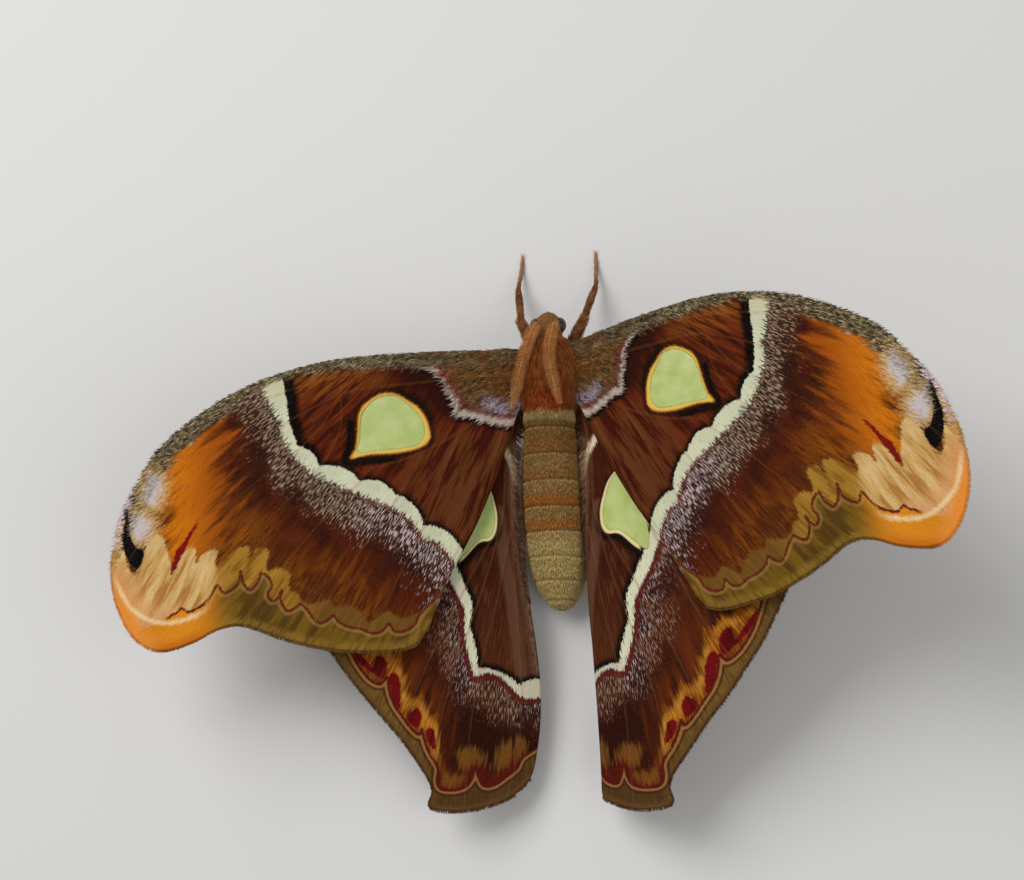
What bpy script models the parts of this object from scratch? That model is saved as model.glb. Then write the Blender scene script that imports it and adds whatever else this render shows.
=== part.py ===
"""Atlas moth, a female at life size, with its wings spread in a shallow V.

It rests on the flat of its belly and on six feet. +Z is up, +Y is the way the head points,
and the left wings reach towards -X. Lengths are in millimetres until a mesh is made.
"""

import math

import bmesh
import bpy
import numpy as np
from mathutils.geometry import delaunay_2d_cdt

MM = 0.001
GAP = 0.3                    # clearance that two touching pieces keep
ORIGIN = (-3.0, -32.2, 0.0)  # body midline point that becomes the middle of the base

# Wings: u runs outward from the hinge, v runs forward.
MEMBRANE = 0.6               # thickness of a wing between its veins
HINGE_U = -2.6               # how far a wing starts inside the thorax
RIM_STEP = 6.0
VEIN_STEP = 8.5
PANEL_STEP = 10.0
CREASE_STEP = 5.0
VEIN_WIDTH = 0.95            # half width of a main vein at the hinge
VEIN_TIP_WIDTH = 0.6
VEIN_HEIGHT = 0.5            # how far a main vein stands out at the hinge
VEIN_TIP_HEIGHT = 0.22
VEIN_FADE = 100.0            # distance from the hinge where a vein has its tip size

LEFT_FOREWING = dict(side=-1, root=(9.3, 0.0, 21.0), rise=24, bend=22, pitch=6, sweep=0, yaw=0)
RIGHT_FOREWING = dict(side=1, root=(9.3, 1.5, 21.0), rise=38, bend=11, pitch=6, sweep=6, yaw=7)
LEFT_HINDWING = dict(side=-1, root=(9.0, 0.0, 18.6), rise=21, bend=20, pitch=6, sweep=0, yaw=0)
RIGHT_HINDWING = dict(side=1, root=(8.8, 1.0, 18.2), rise=31, bend=12, pitch=5, sweep=-0.5, yaw=0,
                      fan_from=9.3, fan=1.34, fold_ray=4.2, fold_turn=65, fold_radius=3.0, fold_start=8)

FOREWING_EDGE = [
    (HINGE_U, 15.2), (10, 15.7), (32.9, 14.9), (55.7, 12.6), (78.6, 5.1), (98.6, -8), (107.1, -19.1),
    (112.9, -30), (115.4, -42.9), (114.3, -54), (109.2, -63.6), (102, -67.6), (93, -65.6), (84, -61.4),
    (77, -61.2), (66, -65.2), (52, -68.4), (37, -68.9), (29.6, -67.2), (26, -62.3), (19.4, -47.7),
    (11.4, -32.9), (4.2, -16), (0.2, -4), (HINGE_U, 2.6)]
HINDWING_EDGE = [
    (HINGE_U, 2.4), (3, 0.6), (14, -6.2), (33, -18), (53, -34), (60.6, -42), (62.6, -51), (59.6, -60),
    (51, -73.5), (42, -85), (35, -93.5), (29, -102.4), (26.6, -107.8), (27.4, -112.6), (22, -114.2), (13, -113.6),
    (4.3, -110.8), (-1.4, -106), (-4, -96), (-5, -84), (-4.4, -72), (-2.6, -58), (-0.6, -44),
    (0.9, -26), (0.8, -12), (-0.6, -3.4), (HINGE_U, -1.2)]
FOREWING_VEINS = [
    [(0, 8.6), (12, 8.6), (27, 6.6), (40, 5.4), (50, 3.4), (64.5, -3.7), (85, -15), (101, -29), (113, -46)],
    [(0, 5), (8, -1.4), (18, -8.6), (30, -14.4), (41, -17.6), (45.1, -21.3), (60, -37), (71, -50.5), (77.6, -61)],
    [(1, 1), (5, -11), (11.6, -27), (17.6, -40.4), (25, -55), (31, -67)],
    [(0, 12), (20, 11.4), (45, 9.4), (66, 4.4), (82, -1.6), (92, -3.6)],
    [(50, 3.4), (54.5, -4), (61.8, -11.6), (80, -26), (96, -43.5), (107.6, -62.5)],
    [(50, 3.4), (50.2, -6), (56.3, -17.3), (71, -32), (85.5, -48.5), (93.6, -65)],
    [(66, -5), (80, -9), (92, -12.4), (103.6, -17)],
    [(26, -12.6), (34.4, -25.7), (47, -44), (57.6, -59.5), (61, -66)],
    [(16, -7), (22, -21), (27.3, -34.3), (36.5, -52.5), (44.5, -68.2)]]
HINDWING_VEINS = [
    [(0, 0), (14, -9.6), (33, -22.4), (49, -36.6), (60.4, -47.6)],
    [(0.4, -2), (9, -13), (17, -24), (30, -40), (43, -57.6), (52.6, -70)],
    [(1.4, -4), (4, -18), (5.2, -32), (10.4, -41), (17.1, -52.9), (27, -72), (36, -92)],
    [(17, -24), (17.6, -33), (26, -49.5), (36, -69), (44.6, -81)],
    [(5.2, -32), (9.6, -47), (15.2, -62.4), (22, -82), (28, -106)],
    [(3, -36), (7.4, -56), (13, -76.7), (16, -95), (17.6, -113)],
    [(1.6, -14), (2.4, -34), (1.6, -58), (0.6, -80), (2, -98), (5.4, -110.4)]]

# Thorax and abdomen: each station is y, half width, half height, height of its middle.
THORAX = [(-0.85, 7.9, 8.6, 16.9), (1.5, 8.9, 9.2, 17.0), (5.5, 9.8, 9.6, 17.4), (10.5, 9.9, 9.5, 18.0),
          (14.5, 9.1, 8.9, 18.6), (17.6, 7.2, 7.4, 19.0), (19.85, 4.6, 5.0, 19.4)]
THORAX_SIDES = 24
ABDOMEN_FRONT = -1.15
ABDOMEN_JOINTS = [-5.8, -13.2, -20.6, -28.0, -35.0, -42.0, -48.6, -54.2]
ABDOMEN_END = -57.6
ABDOMEN_SIDES = 22
ABDOMEN_SWAY = 1.6           # how far the abdomen's tip leans to the right
JOINT_DEPTH = 0.55           # how far the skin between two segments lies below them
ABDOMEN_LINE = [(ABDOMEN_FRONT, 7.6, 8.2, 16.6), (-7, 8.2, 8.6, 15.3), (-16, 9.2, 9.2, 12.9),
                (-26, 10.0, 9.4, 10.8), (-36, 9.9, 9.1, 9.2), (-44, 9.1, 8.3, 8.1), (-50, 7.5, 6.9, 7.3),
                (-55, 4.6, 4.6, 6.8), (ABDOMEN_END, 1.5, 1.7, 6.6)]

# Head, eyes and feelers
HEAD_BACK = THORAX[-1][0] + GAP
HEAD = [(HEAD_BACK, 3.9, 4.2, 19.6), (21.2, 4.3, 4.4, 19.6), (23.2, 4.2, 4.2, 19.4), (25.2, 3.3, 3.4, 19.1),
        (26.6, 1.8, 2.1, 18.8), (27.2, 0.6, 0.8, 18.7)]
HEAD_SIDES = 20
EYE_RADIUS = 2.35
EYE = (3.3, 23.3, 19.7)
PALP = [(1.5, 25.0, 16.9), (1.7, 27.0, 16.4), (1.6, 28.6, 16.8), (1.4, 29.6, 17.7)]
PALP_RADIUS = [0.9, 0.95, 0.75, 0.3]
FEELERS = {"left": [(1.9, 23.2, 22.2), (2.4, 22.6, 25.2), (3.4, 19.4, 28.0), (5.0, 13.8, 29.0),
                    (6.9, 7.4, 28.4), (8.4, 1.6, 27.0), (9.5, -2.2, 25.9)],
           "right": [(1.9, 23.2, 22.2), (2.7, 22.4, 25.4), (2.5, 18.8, 28.2), (1.9, 13.8, 29.0),
                     (2.4, 8.6, 29.1), (3.5, 3.6, 28.7), (4.9, -1.4, 27.6)]}
FEELER_RADIUS = 0.5
FEELER_TIP_RADIUS = 0.3
BARBS = 22                   # side branches on each side of one feeler
BARB_LENGTH = 1.7
BARB_RADIUS = 0.28
DENSE_STEP = 0.1             # spacing of the shaft's points that branches are placed by
BARB_STAGGER = 0.19          # how far a branch stands ahead of the one across the shaft

# Legs: hip, knee, end of shin, toe on the floor
LEGS = {"front": [(4.4, 16.2, 12.4), (9.2, 26.2, 12.6), (11.6, 38.4, 4.2), (11.2, 46.0, 0.5)],
        "middle": [(6.2, 9.5, 11.0), (17.0, 14.0, 13.0), (25.0, 12.6, 3.4), (31.0, 12.2, 0.5)],
        "hind": [(5.6, 3.4, 10.6), (15.4, -5.0, 12.0), (21.6, -14.0, 3.4), (25.4, -21.0, 0.5)]}
LEG_RADIUS = [1.9, 1.45, 0.95, 0.6]
TOE_LENGTH = 4.0
LEG_SIDES = 8


def catmull(points, step, closed=False):
    """Points along a smooth curve through the given points, about one step apart."""
    knots = [np.array(p, float) for p in points]
    count = len(knots)
    line = []
    spans = count if closed else count - 1
    for i in range(spans):
        after = knots[(i + 1) % count]
        before = knots[i - 1] if closed or i > 0 else 2 * knots[i] - after
        later = knots[(i + 2) % count] if closed or i + 2 < count else 2 * after - knots[i]
        cuts = max(1, round(float(np.linalg.norm(after - knots[i])) / step))
        for j in range(cuts):
            t = j / cuts
            slope_a = (after - before) / 2
            slope_b = (later - knots[i]) / 2
            line.append((2 * t**3 - 3 * t**2 + 1) * knots[i] + (t**3 - 2 * t**2 + t) * slope_a
                        + (3 * t**2 - 2 * t**3) * after + (t**3 - t**2) * slope_b)
    if not closed:
        line.append(knots[-1])
    return np.array(line)


def material(name, colour, roughness):
    """A plain Principled finish."""
    finish = bpy.data.materials.new(name)
    finish.use_nodes = True
    shader = finish.node_tree.nodes["Principled BSDF"]
    shader.inputs["Base Color"].default_value = (*colour, 1)
    shader.inputs["Roughness"].default_value = roughness
    shader.inputs["Metallic"].default_value = 0
    return finish


def add_object(name, verts, faces, finish=None):
    """One object from points in millimetres, moved so that the base's middle is the origin."""
    mesh = bpy.data.meshes.new(name)
    placed = (np.array(verts, float) - np.array(ORIGIN)) * MM
    mesh.from_pydata([tuple(p) for p in placed], [], faces)
    bm = bmesh.new()
    bm.from_mesh(mesh)
    bmesh.ops.recalc_face_normals(bm, faces=bm.faces)
    bm.to_mesh(mesh)
    bm.free()
    piece = bpy.data.objects.new(name, mesh)
    bpy.context.scene.collection.objects.link(piece)
    if finish:
        mesh.materials.append(finish)
        mesh.shade_smooth()
        mesh.set_sharp_from_angle(angle=math.radians(40))
    return piece


def bake(piece):
    """Replaces a piece's mesh by what its modifiers make of it."""
    graph = bpy.context.evaluated_depsgraph_get()
    mesh = bpy.data.meshes.new_from_object(piece.evaluated_get(graph))
    piece.modifiers.clear()
    piece.data = mesh


def keep_largest(piece):
    """Leaves only the piece's largest closed surface."""
    bm = bmesh.new()
    bm.from_mesh(piece.data)
    groups = []
    unseen = set(bm.faces)
    while unseen:
        todo = [unseen.pop()]
        group = []
        while todo:
            face = todo.pop()
            group.append(face)
            for edge in face.edges:
                for other in edge.link_faces:
                    if other in unseen:
                        unseen.remove(other)
                        todo.append(other)
        groups.append(group)
    groups.sort(key=len, reverse=True)
    for group in groups[1:]:
        bmesh.ops.delete(bm, geom=group, context="FACES")
    loose = [v for v in bm.verts if not v.link_faces]
    bmesh.ops.delete(bm, geom=loose, context="VERTS")
    bm.to_mesh(piece.data)
    bm.free()


def grown(piece, by=GAP):
    """A copy of a piece, swollen on every side, that cuts its neighbours clear of it."""
    cutter = bpy.data.objects.new(piece.name + ".cutter", piece.data.copy())
    bpy.context.scene.collection.objects.link(cutter)
    bm = bmesh.new()
    bm.from_mesh(cutter.data)
    bm.normal_update()
    for vert in bm.verts:
        vert.co += vert.normal * by * MM * 1.15
    bm.to_mesh(cutter.data)
    bm.free()
    cutter.hide_render = True
    cutter.display_type = "WIRE"
    return cutter


def cut_clear(piece, *neighbours):
    """Cuts a piece back so that it meets each neighbour with a gap."""
    for neighbour in neighbours:
        cutter = grown(neighbour)
        cut = piece.modifiers.new("clearance", "BOOLEAN")
        cut.operation = "DIFFERENCE"
        cut.object = cutter
        bake(piece)
        bpy.data.objects.remove(cutter)
    keep_largest(piece)


def join_all(piece, parts):
    """Fuses a list of closed parts into a piece, as one closed body."""
    group = bpy.data.collections.new(piece.name + ".parts")
    for part in parts:
        bpy.context.scene.collection.objects.unlink(part)
        group.objects.link(part)
    bpy.context.scene.collection.children.link(group)
    union = piece.modifiers.new("union", "BOOLEAN")
    union.operation = "UNION"
    union.operand_type = "COLLECTION"
    union.collection = group
    bake(piece)
    for part in parts:
        bpy.data.objects.remove(part)
    bpy.data.collections.remove(group)
    keep_largest(piece)


def bridge_rings(rings):
    """Verts and faces of a closed solid through rings that have equally many points."""
    sides = len(rings[0])
    verts = [p for ring in rings for p in ring]
    faces = [tuple(range(sides))]
    for i in range(len(rings) - 1):
        for j in range(sides):
            near, far = i * sides + j, i * sides + (j + 1) % sides
            faces.append((near, far, far + sides, near + sides))
    faces.append(tuple(range((len(rings) - 1) * sides, len(rings) * sides)))
    return verts, faces


def ellipse(y, half_width, half_height, middle, sides):
    """One upright ring round the body, kept above the floor."""
    lean = ABDOMEN_SWAY * (min(0.0, y - ABDOMEN_FRONT) / (ABDOMEN_END - ABDOMEN_FRONT)) ** 2
    ring = []
    for j in range(sides):
        turn = 2 * math.pi * (j + 0.5) / sides
        ring.append((lean + half_width * math.sin(turn), y, max(0.0, middle - half_height * math.cos(turn))))
    return ring


def body_solid(name, stations, sides, finish):
    """A closed body through upright elliptical stations."""
    return add_object(name, *bridge_rings([ellipse(*s, sides) for s in stations]), finish)


def tube(points, radii, sides, floor=None):
    """Verts and faces of a closed tapered tube; floor flattens what would pass below it."""
    path = np.array(points, float)
    heading = np.gradient(path, axis=0)
    heading /= np.linalg.norm(heading, axis=1)[:, None]
    across = np.cross(heading[0], (0, 0, 1.0))
    rings = []
    for here, ahead, radius in zip(path, heading, radii):
        across = across - ahead * (across @ ahead)
        across /= np.linalg.norm(across)
        above = np.cross(across, ahead)
        ring = []
        for j in range(sides):
            turn = 2 * math.pi * (j + 0.5) / sides
            point = here + radius * (math.cos(turn) * across + math.sin(turn) * above)
            if floor is not None:
                point[2] = max(floor, point[2])
            ring.append(tuple(point))
        rings.append(ring)
    return bridge_rings(rings)


def mirror_x(points, side):
    """The same points on the left (-1) or the right (1) of the body."""
    return [(side * x, y, z) for x, y, z in points]


def fanned(u, v, pose):
    """Turns the wing's rays apart outside one ray, and folds the wing down inside another.

    Returns u and v on the wing's plane, and how far the point lies below that plane.
    """
    if "fan_from" not in pose:
        return u, v, 0.0
    reach = math.hypot(u, v)
    ray = math.atan2(u, -v)
    start, fold = math.radians(pose["fan_from"]), math.radians(pose["fold_ray"])
    if ray > start:
        ray = start + (ray - start) * pose["fan"]
    past = (fold - ray) * reach * min(1.0, max(0.0, reach / pose["fold_start"] - 1))
    below = 0.0
    if past > 0:
        radius, turn = pose["fold_radius"], math.radians(pose["fold_turn"])
        arc = min(past, radius * turn)
        inward = radius * math.sin(arc / radius) + (past - arc) * math.cos(turn)
        below = radius * (1 - math.cos(arc / radius)) + (past - arc) * math.sin(turn)
        ray += (past - inward) / reach
    return reach * math.sin(ray), -reach * math.cos(ray), below


def wing_point(u, v, pose):
    """Where a point of the flat wing lies on the spread and arched one."""
    u, v, below = fanned(u, v, pose)
    sweep, rise = math.radians(pose["sweep"]), math.radians(pose["rise"])
    pitch, yaw = math.radians(pose["pitch"]), math.radians(pose["yaw"])
    curl = math.radians(pose["bend"]) / 120
    u, v = u * math.cos(sweep) - v * math.sin(sweep), u * math.sin(sweep) + v * math.cos(sweep)
    slope = rise - curl * u
    out = (math.sin(rise) - math.sin(slope)) / curl + below * math.sin(slope)
    lift = (math.cos(slope) - math.cos(rise)) / curl - below * math.cos(slope)
    ahead = v * math.cos(pitch) - lift * math.sin(pitch)
    up = lift * math.cos(pitch) + v * math.sin(pitch)
    out, ahead = out * math.cos(yaw) - ahead * math.sin(yaw), out * math.sin(yaw) + ahead * math.cos(yaw)
    root = pose["root"]
    return np.array((pose["side"] * (root[0] + out), root[1] + ahead, root[2] + up))


def wing_normal(u, v, pose):
    """The direction that the upper face of the wing looks in at a point."""
    small = 0.05
    along = wing_point(u + small, v, pose) - wing_point(u - small, v, pose)
    fore = wing_point(u, v + small, pose) - wing_point(u, v - small, pose)
    normal = np.cross(along, fore) * pose["side"]
    return normal / np.linalg.norm(normal)


def distance_to(line, point):
    """How far a point is from a line of joined straight runs."""
    start, end = line[:-1], line[1:]
    run = end - start
    t = np.clip(((point - start) * run).sum(1) / (run * run).sum(1), 0, 1)
    return float(np.linalg.norm(start + run * t[:, None] - point, axis=1).min())


def vein_size(point, at_hinge, at_tip):
    """A vein's width or height, which falls from the hinge outward."""
    t = min(1.0, float(np.hypot(*point)) / VEIN_FADE)
    return at_hinge + (at_tip - at_hinge) * t


def inside(point, loop):
    """Whether a point lies within a closed loop."""
    x, y = loop[:, 0], loop[:, 1]
    nx, ny = np.roll(x, -1), np.roll(y, -1)
    crosses = (y > point[1]) != (ny > point[1])
    where = x + (point[1] - y) * (nx - x) / np.where(ny == y, 1, ny - y)
    return bool((crosses & (point[0] < where)).sum() % 2)


def crease_points(pose):
    """Points along a wing's fold, which let its mesh turn there."""
    spots = []
    for share in (0, 0.5, 1) if "fold_ray" in pose else ():
        past = share * pose["fold_radius"] * math.radians(pose["fold_turn"])
        for reach in np.arange(14.0, 115.0, CREASE_STEP):
            ray = math.radians(pose["fold_ray"]) - past / reach
            spots.append(np.array((reach * math.sin(ray), -reach * math.cos(ray))))
    return spots


def flat_wing(edge, veins, pose):
    """Triangles of the flat wing, laid along its veins, with each point's vein height."""
    rim = catmull(edge, RIM_STEP, closed=True)
    rim_line = np.vstack([rim, rim[:1]])
    points = [tuple(p) for p in rim]
    edges = []
    crests = []
    for vein in veins:
        crest = catmull(vein, VEIN_STEP)
        clear = [p for p in crest
                 if inside(p, rim) and distance_to(rim_line, p) > 1.6
                 and all(distance_to(c, p) > 2.2 for c in crests)]
        crest = np.array(clear)
        heading = np.gradient(crest, axis=0)
        heading /= np.linalg.norm(heading, axis=1)[:, None]
        across = np.column_stack([-heading[:, 1], heading[:, 0]])
        width = np.array([vein_size(p, VEIN_WIDTH, VEIN_TIP_WIDTH) for p in crest])[:, None]
        for line in (crest - across * width, crest, crest + across * width):
            first = len(points)
            points += [tuple(p) for p in line]
            edges += [(first + i, first + i + 1) for i in range(len(line) - 1)]
        crests.append(crest)
    creases = [p for p in crease_points(pose)
               if inside(p, rim) and distance_to(rim_line, p) > 1.2
               and all(distance_to(c, p) > 1.8 for c in crests)]
    points += [tuple(p) for p in creases]
    rows = range(-14, 4)
    for row in rows:
        for col in range(-2, 14):
            spot = np.array(((col + 0.5 * (row % 2)) * PANEL_STEP, row * PANEL_STEP * 0.87))
            if not inside(spot, rim) or distance_to(rim_line, spot) < PANEL_STEP * 0.45:
                continue
            if all(distance_to(c, spot) > PANEL_STEP * 0.42 for c in crests):
                if all(np.linalg.norm(p - spot) > PANEL_STEP * 0.42 for p in creases):
                    points.append(tuple(spot))
    outline = [list(range(len(rim)))]
    flat, _, faces, *_ = delaunay_2d_cdt(points, edges, outline, 1, 1e-4)
    heights = []
    for p in flat:
        height = 0.0
        for crest in crests:
            share = 1 - distance_to(crest, np.array(p)) / vein_size(p, VEIN_WIDTH, VEIN_TIP_WIDTH)
            height = max(height, share * vein_size(p, VEIN_HEIGHT, VEIN_TIP_HEIGHT))
        heights.append(height)
    return [tuple(p) for p in flat], heights, [tuple(f) for f in faces]


def wing(name, edge, veins, pose, finish):
    """A wing of even thickness with its veins raised on both faces, split alike above and below."""
    flat, heights, faces = flat_wing(edge, veins, pose)
    count = len(flat)
    upper, lower = [], []
    for (u, v), height in zip(flat, heights):
        place, normal = wing_point(u, v, pose), wing_normal(u, v, pose)
        half = MEMBRANE / 2 + height
        upper.append(tuple(place + normal * half))
        lower.append(tuple(place - normal * half))
    border = {}
    for face in faces:
        for a, b in zip(face, face[1:] + face[:1]):
            border[(a, b)] = border.get((a, b), 0) + 1
    walls = []
    for a, b in border:
        if (b, a) not in border:
            walls += [(b, a, a + count), (b, a + count, b + count)]
    under = [tuple(i + count for i in reversed(face)) for face in faces]
    return add_object(name, upper + lower, faces + under + walls, finish)


def abdomen_stations():
    """Rings along the abdomen, with a shallow groove at each joint between two segments."""
    line = catmull(ABDOMEN_LINE, 0.6)
    line = line[np.argsort(-line[:, 0])]
    ys = [ABDOMEN_FRONT]
    edges = [ABDOMEN_FRONT] + ABDOMEN_JOINTS + [ABDOMEN_END]
    for start, end in zip(edges[1:-1], edges[2:]):
        ys += [start + 0.75, start, start - 0.75, start + (end - start) * 0.5]
    ys.append(ABDOMEN_END)
    stations = []
    for y in ys:
        size = [float(np.interp(-y, -line[:, 0], line[:, k])) for k in (1, 2, 3)]
        sunk = JOINT_DEPTH if y in ABDOMEN_JOINTS else 0.0
        stations.append((y, size[0] - sunk, size[1] - sunk, size[2]))
    return stations


def leg(name, joints, side, finish):
    """One leg from hip to toe, with a bend at knee and shin and a foot that lies on the floor."""
    hip, knee, shin, toe = [np.array(p) for p in mirror_x(joints, side)]
    direction = toe - shin
    direction[2] = 0
    tip = toe + direction / np.linalg.norm(direction) * TOE_LENGTH
    path = [hip, hip + (knee - hip) * 0.45, knee + (hip - knee) * 0.12, knee, knee + (shin - knee) * 0.12,
            knee + (shin - knee) * 0.6, shin, shin + (toe - shin) * 0.5, toe, tip]
    big, thigh, calf, foot = LEG_RADIUS
    radii = [big, big, thigh, thigh * 0.8, calf, calf * 1.1, foot, foot * 0.9, foot * 0.95, foot * 0.6]
    return add_object(name, *tube(path, radii, LEG_SIDES, floor=0.0), finish)


def feeler(name, path, finish):
    """One feathered feeler: a bent shaft with a row of side branches on each side."""
    shaft = catmull(path, 1.6)
    count = len(shaft)
    radii = [FEELER_RADIUS + (FEELER_TIP_RADIUS - FEELER_RADIUS) * i / (count - 1) for i in range(count)]
    piece = add_object(name, *tube(shaft, radii, 6), finish)
    dense = catmull(path, DENSE_STEP)
    heading = np.gradient(dense, axis=0)
    heading /= np.linalg.norm(heading, axis=1)[:, None]
    barbs = []
    for i in range(BARBS):
        t = 0.2 + 0.75 * i / (BARBS - 1)
        length = BARB_LENGTH * min(1.0, 0.55 + (t - 0.2) * 3, 0.42 + (0.95 - t) * 2.2)
        shaft_radius = FEELER_RADIUS + (FEELER_TIP_RADIUS - FEELER_RADIUS) * t
        for hand in (-1, 1):
            at = int(t * (len(dense) - 1) + hand * BARB_STAGGER / DENSE_STEP)
            out = np.cross(heading[at], (0, 0, 1.0))
            out /= np.linalg.norm(out)
            root = dense[at] + hand * out * shaft_radius * 0.35
            tip = root + hand * out * length + heading[at] * length * 0.38 - np.array((0, 0, 0.12 * length))
            radius = min(BARB_RADIUS, shaft_radius * 0.72)
            solid = tube([root, root + (tip - root) * 0.6, tip], [radius, radius * 0.9, 0.16], 4)
            barbs.append(add_object("barb", *solid))
    join_all(piece, barbs)
    return piece


def eye(name, side, finish):
    """A round compound eye."""
    bm = bmesh.new()
    bmesh.ops.create_uvsphere(bm, u_segments=16, v_segments=10, radius=EYE_RADIUS)
    centre = np.array((side * EYE[0], EYE[1], EYE[2]))
    verts = [tuple(centre + np.array(v.co)) for v in bm.verts]
    faces = [tuple(v.index for v in f.verts) for f in bm.faces]
    bm.free()
    return add_object(name, verts, faces, finish)


def build():
    """Makes every part of the moth and cuts each clear of the part that it grows from."""
    for old in list(bpy.data.objects):
        bpy.data.objects.remove(old)
    fur = material("thorax_fur", (0.30, 0.12, 0.05), 0.9)
    belly = material("abdomen_fur", (0.36, 0.20, 0.12), 0.9)
    scales = material("wing_scales", (0.26, 0.10, 0.05), 0.8)
    horn = material("feeler_horn", (0.50, 0.28, 0.10), 0.7)
    lens = material("eye_lens", (0.03, 0.02, 0.02), 0.25)
    shell = material("leg_fur", (0.33, 0.15, 0.08), 0.8)
    thorax = body_solid("thorax", THORAX, THORAX_SIDES, fur)
    abdomen = body_solid("abdomen", abdomen_stations(), ABDOMEN_SIDES, belly)
    head = body_solid("head", HEAD, HEAD_SIDES, fur)
    palps = [add_object("palp", *tube(mirror_x(PALP, side), PALP_RADIUS, 8)) for side in (-1, 1)]
    join_all(head, palps)
    for word, side in (("left", -1), ("right", 1)):
        ball = eye("eye_" + word, side, lens)
        cut_clear(head, ball)
    for word, side in (("left", -1), ("right", 1)):
        cut_clear(feeler("antenna_" + word, mirror_x(FEELERS[word], side), horn), head)
        for place, joints in LEGS.items():
            cut_clear(leg("leg_" + place + "_" + word, joints, side, shell), thorax)
    wings = [("forewing_left", FOREWING_EDGE, FOREWING_VEINS, LEFT_FOREWING),
             ("forewing_right", FOREWING_EDGE, FOREWING_VEINS, RIGHT_FOREWING),
             ("hindwing_left", HINDWING_EDGE, HINDWING_VEINS, LEFT_HINDWING),
             ("hindwing_right", HINDWING_EDGE, HINDWING_VEINS, RIGHT_HINDWING)]
    for name, edge, veins, pose in wings:
        cut_clear(wing(name, edge, veins, pose, scales), thorax, abdomen)


build()
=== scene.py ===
"""Looks of the atlas moth: patterned wings, furred body, feelers and legs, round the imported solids."""

import math

import bpy
import numpy as np
from mathutils import Matrix, Vector
from mathutils.geometry import delaunay_2d_cdt


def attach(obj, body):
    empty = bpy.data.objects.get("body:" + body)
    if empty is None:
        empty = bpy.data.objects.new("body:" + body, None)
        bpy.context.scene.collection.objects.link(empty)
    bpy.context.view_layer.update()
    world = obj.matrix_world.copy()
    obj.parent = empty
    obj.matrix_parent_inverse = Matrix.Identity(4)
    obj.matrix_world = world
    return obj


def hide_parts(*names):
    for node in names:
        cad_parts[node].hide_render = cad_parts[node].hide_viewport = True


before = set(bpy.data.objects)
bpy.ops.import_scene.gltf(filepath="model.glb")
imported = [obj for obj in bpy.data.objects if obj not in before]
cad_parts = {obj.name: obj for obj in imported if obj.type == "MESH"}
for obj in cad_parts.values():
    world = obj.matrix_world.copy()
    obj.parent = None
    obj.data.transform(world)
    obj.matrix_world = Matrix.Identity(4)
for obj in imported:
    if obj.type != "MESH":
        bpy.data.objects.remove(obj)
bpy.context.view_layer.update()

MM = 0.001
ORIGIN = np.array((-3.0, -32.2, 0.0))   # body midline point, in mm, that is the model's origin


def placed(points):
    """Metres in the frame, from millimetres on the body's own midline."""
    return (np.asarray(points, float) - ORIGIN) * MM


# Camera: a phone's lens, held about 60 cm over the moth's back. It stands a little to the moth's
# right and towards its tail, so that the left wings are seen broad and the right ones steeper.
CAMERA_DISTANCE = 600.0
CAMERA_EAST = math.radians(11)
CAMERA_SOUTH = math.radians(10)
LENS_PX = 2100.0
FRAME_PX = (1024, 880)
AIM = np.array((0.0, 0.0, 20.0))        # body point that the photo shows at AIM_PX
AIM_PX = (548, 405)
SENSOR_MM = 36.0

bpy.ops.object.select_all(action="DESELECT")
away = np.array((math.sin(CAMERA_EAST) * math.cos(CAMERA_SOUTH), -math.sin(CAMERA_SOUTH),
                 math.cos(CAMERA_EAST) * math.cos(CAMERA_SOUTH)))
right = np.cross(-away, (0, 1, 0))
right /= np.linalg.norm(right)
above = np.cross(right, -away)
px_mm = CAMERA_DISTANCE / LENS_PX
camera_place = (AIM + away * CAMERA_DISTANCE
                - right * (AIM_PX[0] - FRAME_PX[0] / 2) * px_mm
                + above * (AIM_PX[1] - FRAME_PX[1] / 2) * px_mm)
bpy.ops.object.camera_add()
camera = bpy.context.object
camera.matrix_world = Matrix.Translation(placed(camera_place)) @ Matrix(
    (right, above, away)).transposed().to_4x4()
camera.data.sensor_width = SENSOR_MM
camera.data.lens = LENS_PX * SENSOR_MM / FRAME_PX[0]
camera.data.clip_start = 0.01
bpy.context.scene.camera = camera

# Floor: a plain pale board that the moth rests on, a slab with square edges. It is covered with
# matt paper, whose fine grain catches a little of the light.
FLOOR_SIZE = 4.0
FLOOR_DEPTH = 0.02
FLOOR_COLOUR = (0.62, 0.61, 0.59, 1)


def new_finish(name):
    """A new material with its node tree and its shader."""
    finish = bpy.data.materials.new(name)
    finish.use_nodes = True
    return finish, finish.node_tree, finish.node_tree.nodes["Principled BSDF"]


def node(tree, kind, inputs=None, **settings):
    """A shader node with its settings made and its inputs linked or filled."""
    made = tree.nodes.new(kind)
    for word, value in settings.items():
        setattr(made, word, value)
    for socket, value in (inputs or {}).items():
        if isinstance(value, bpy.types.NodeSocket):
            tree.links.new(value, made.inputs[socket])
        else:
            made.inputs[socket].default_value = value
    return made


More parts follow.
